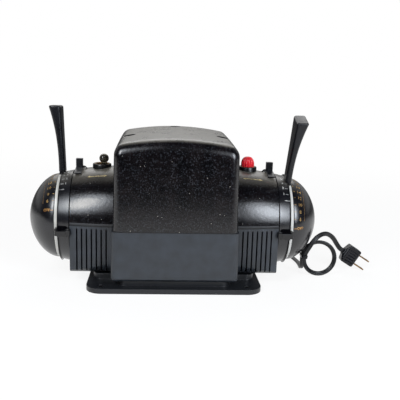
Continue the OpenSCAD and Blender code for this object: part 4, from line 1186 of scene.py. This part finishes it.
white_ring = moulded("opal_ring", "#D8D6D0", "#C9C6BF", 0.4, peel=0.02, edge=0.3)
steel = metal("plated_steel", "#9A9C9F", "#6E6A62", 0.38)
brass = metal("aged_brass", "#B08A4A", "#77592E", 0.34)
nickel = metal("nickel_plate", "#C4C2BC", "#918C82", 0.22)
wire = layered("enamelled_copper", "#A8623A", "#4A2414", 1.4, "Z", 0.35, metallic=0.9)
laminations = layered("lamination_steel", "#5E6164", "#2A2B2D", 1.0, "X", 0.5, metallic=0.7)
carbon = moulded("pressed_carbon", "#1C1C1D", "#29292A", 0.5, peel=0.05)
board = moulded("fibre_board", "#4A2E1C", "#5E3B24", 0.55, peel=0.06)
paint(white_ring, *both("light_ring"))
# The screw heads sit at the bottom of the wells, and their near-black colour is painted shade.
paint(metal("screw_metal_as_shade", "#2B2A28", "#151413", 0.5), "cover_screws")
paint(steel, "core_bolts", "core_cradle", "top_frame", *both("bearing_plate"), *both("throttle_shaft"))
paint(metal("darkened_brass", "#8C6C46", "#4F3B26", 0.36), "plug_blades")
paint(brass, "binding_posts", *both("outer_arm"), *both("inner_arm"))
paint(brass, *both("lamp_socket"), *both("dial_sleeve"))
paint(nickel, "thumb_nuts")
paint(wire, "coil")
paint(laminations, "laminated_core")
paint(carbon, *both("outer_roller"), *both("inner_roller"))
paint(board, "terminal_board", "coil_former", "circuit_breaker", "rectifier_stack")
paint(clear_glass, "right_lamp")

# %% [markdown]
# ## Floor, world and lights
# The photograph was taken on a white table with a white backdrop and a dark room behind the
# camera. The lower front mirrors the table and looks grey, while the upper front mirrors the
# dark room and looks black. So the table fades into the dark in front and gets dimmer behind,
# though the camera always sees it white. The world is bright behind the object and dark before
# it. Each front side has three oval lamps, a small one inside two larger ones, which give the
# bright patch on the barrel a soft rim.

# %% Floor
FLOOR_FRONT, FLOOR_BACK, FLOOR_SIDE = -0.95, 2.5, 2.2
SHADOW_END, EVEN_FROM, SHADOW_SHARE = 0.3, 1.1, 0.88
BASE_HALF = {"X": 0.098, "Y": 0.085}
FADE_END, FADE_START = -0.68, -0.38
REAR_START, REAR_END, REAR_LEVEL = 0.15, 0.6, 0.14
floor_mesh = bpy.data.meshes.new("white_table")
left, right, front, back = -FLOOR_SIDE, FLOOR_SIDE, FLOOR_FRONT, FLOOR_BACK
floor_corners = [(left, front, 0), (right, front, 0), (right, back, 0), (left, back, 0)]
floor_mesh.from_pydata(floor_corners, [], [(0, 1, 2, 3)])
floor = new_object("white_table", floor_mesh)
table_material, tree = new_material("white_table_top")
ray = add(tree, "LightPath")
where = add(tree, "TexCoord").outputs["Object"]
along = add(tree, "SeparateXYZ", {0: where})
by_eye = {0: ray.outputs["Is Camera Ray"], 1: ray.outputs["Is Glossy Ray"]}
seen = add(tree, "Math", by_eye, operation="MAXIMUM")
# Near the object the table takes its shadow. Further off it is even white, up to the backdrop.
reach = add(tree, "VectorMath", {0: where}, operation="LENGTH")
ramp = {0: reach.outputs["Value"], 1: SHADOW_END, 2: EVEN_FROM, 3: SHADOW_SHARE, 4: 1.0}
even = add(tree, "MapRange", ramp, interpolation_type="SMOOTHSTEP")
share = add(tree, "Math", {0: seen.outputs[0], 1: even.outputs[0]}, operation="MULTIPLY")
# Under the base plate no light gets in, so its four holes look dark.
beyond = []
for axis, half in BASE_HALF.items():
    aside = add(tree, "Math", {0: along.outputs[axis]}, operation="ABSOLUTE")
    beyond.append(add(tree, "Math", {0: aside.outputs[0], 1: half}, operation="GREATER_THAN").outputs[0])
outside = add(tree, "Math", {0: beyond[0], 1: beyond[1]}, operation="MAXIMUM")
share = add(tree, "Math", {0: share.outputs[0], 1: outside.outputs[0]}, operation="MULTIPLY")
# The table fades into the dark room from 0.38 m to 0.68 m in front of the middle.
fade = {0: along.outputs["Y"], 1: FADE_END, 2: FADE_START}
lit = add(tree, "MapRange", fade, interpolation_type="SMOOTHSTEP")
# Behind the object it is dimmer too. Only reflections and light find it so: the camera sees white.
dimming = {0: along.outputs["Y"], 1: REAR_START, 2: REAR_END, 3: 1.0, 4: REAR_LEVEL}
rear = add(tree, "MapRange", dimming, interpolation_type="SMOOTHSTEP")
lit = add(tree, "Math", {0: lit.outputs[0], 1: rear.outputs[0]}, operation="MULTIPLY")
lit = add(tree, "Math", {0: lit.outputs[0], 1: ray.outputs["Is Camera Ray"]}, operation="MAXIMUM")
white = {0: lit.outputs[0], MIX_A: linear("#101010"), MIX_B: linear("#FFFFFF")}
tone = add(tree, "Mix", white, data_type="RGBA").outputs[MIX_OUT]
matt = add(tree, "BsdfDiffuse", {"Color": tone})
glow = add(tree, "Emission", {"Color": tone, "Strength": 1.0})
table = add(tree, "MixShader", {0: share.outputs[0], 1: matt.outputs[0], 2: glow.outputs[0]})
add(tree, "OutputMaterial", {"Surface": table.outputs[0]})
floor_mesh.materials.append(table_material)

# %% World
world = bpy.data.worlds.new("studio")
world.use_nodes = True
sky = world.node_tree
sky.nodes.clear()
looking = add(sky, "SeparateXYZ", {0: add(sky, "TexCoord").outputs["Generated"]})
backward = {0: looking.outputs["Y"], 1: -0.15, 2: 0.4, 3: 0.015, 4: 0.5}
behind = add(sky, "MapRange", backward, interpolation_type="SMOOTHSTEP")
upward = {0: looking.outputs["Z"], 1: 0.4, 2: 0.85, 3: 1.0, 4: 0.5}
ceiling = add(sky, "MapRange", upward, interpolation_type="SMOOTHSTEP")
room = add(sky, "Math", {0: behind.outputs[0], 1: ceiling.outputs[0]}, operation="MULTIPLY")
# Steep side faces mirror what lies level behind the object, and it is dark there.
near_level = {0: looking.outputs["Z"], 1: 0.0, 2: 0.11, 3: 0.12, 4: 1.0}
level = add(sky, "MapRange", near_level, interpolation_type="SMOOTHSTEP")
room = add(sky, "Math", {0: room.outputs[0], 1: level.outputs[0]}, operation="MULTIPLY")
ray = add(sky, "LightPath")
straight = {0: ray.outputs["Is Camera Ray"], 1: ray.outputs["Is Transmission Ray"]}
direct = add(sky, "Math", straight, operation="MAXIMUM")
strength = add(sky, "Math", {0: direct.outputs[0], 1: room.outputs[0]}, operation="MAXIMUM")
backdrop = add(sky, "Background", {"Color": (1, 1, 1, 1), "Strength": strength.outputs[0]})
add(sky, "OutputWorld", {"Surface": backdrop.outputs[0]})
bpy.context.scene.world = world


# %% Lamps of the studio
AIM_Z = 0.09
PLAIN = (1.0, 1.0, 1.0)
WARM = (1.0, 0.95, 0.87)
COOL = (0.86, 0.92, 1.0)


def soft_lamp(name, azimuth, elevation, reach, size, watts, colour=PLAIN):
    """An oval area light that faces the object, at an azimuth from the camera side and an elevation."""
    az, el = math.radians(azimuth), math.radians(elevation)
    way = Vector((math.sin(az) * math.cos(el), -math.cos(az) * math.cos(el), math.sin(el)))
    data = bpy.data.lights.new(name, "AREA")
    data.shape = "ELLIPSE"
    data.size, data.size_y = size
    data.energy = watts
    data.color = colour
    lamp = new_object(name, data)
    facing_back = way.to_track_quat("Z", "Y").to_matrix().to_4x4()
    lamp.matrix_world = Matrix.Translation(Vector((0, 0, AIM_Z)) + way * reach) @ facing_back


for name, azimuth, elevation, core_colour in (("left", -33.5, 35, WARM), ("right", 35, 22.5, COOL)):
    soft_lamp(f"{name}_core", azimuth, elevation, 1.1, (0.23, 0.46), 2.3, core_colour)
    soft_lamp(f"{name}_halo", azimuth, elevation, 1.12, (0.46, 0.8), 4.8, COOL)
    soft_lamp(f"{name}_wash", azimuth, elevation, 1.15, (0.9, 0.95), 3.0, COOL)
soft_lamp("overhead", 180, 40, 1.4, (1.6, 0.9), 6.5)
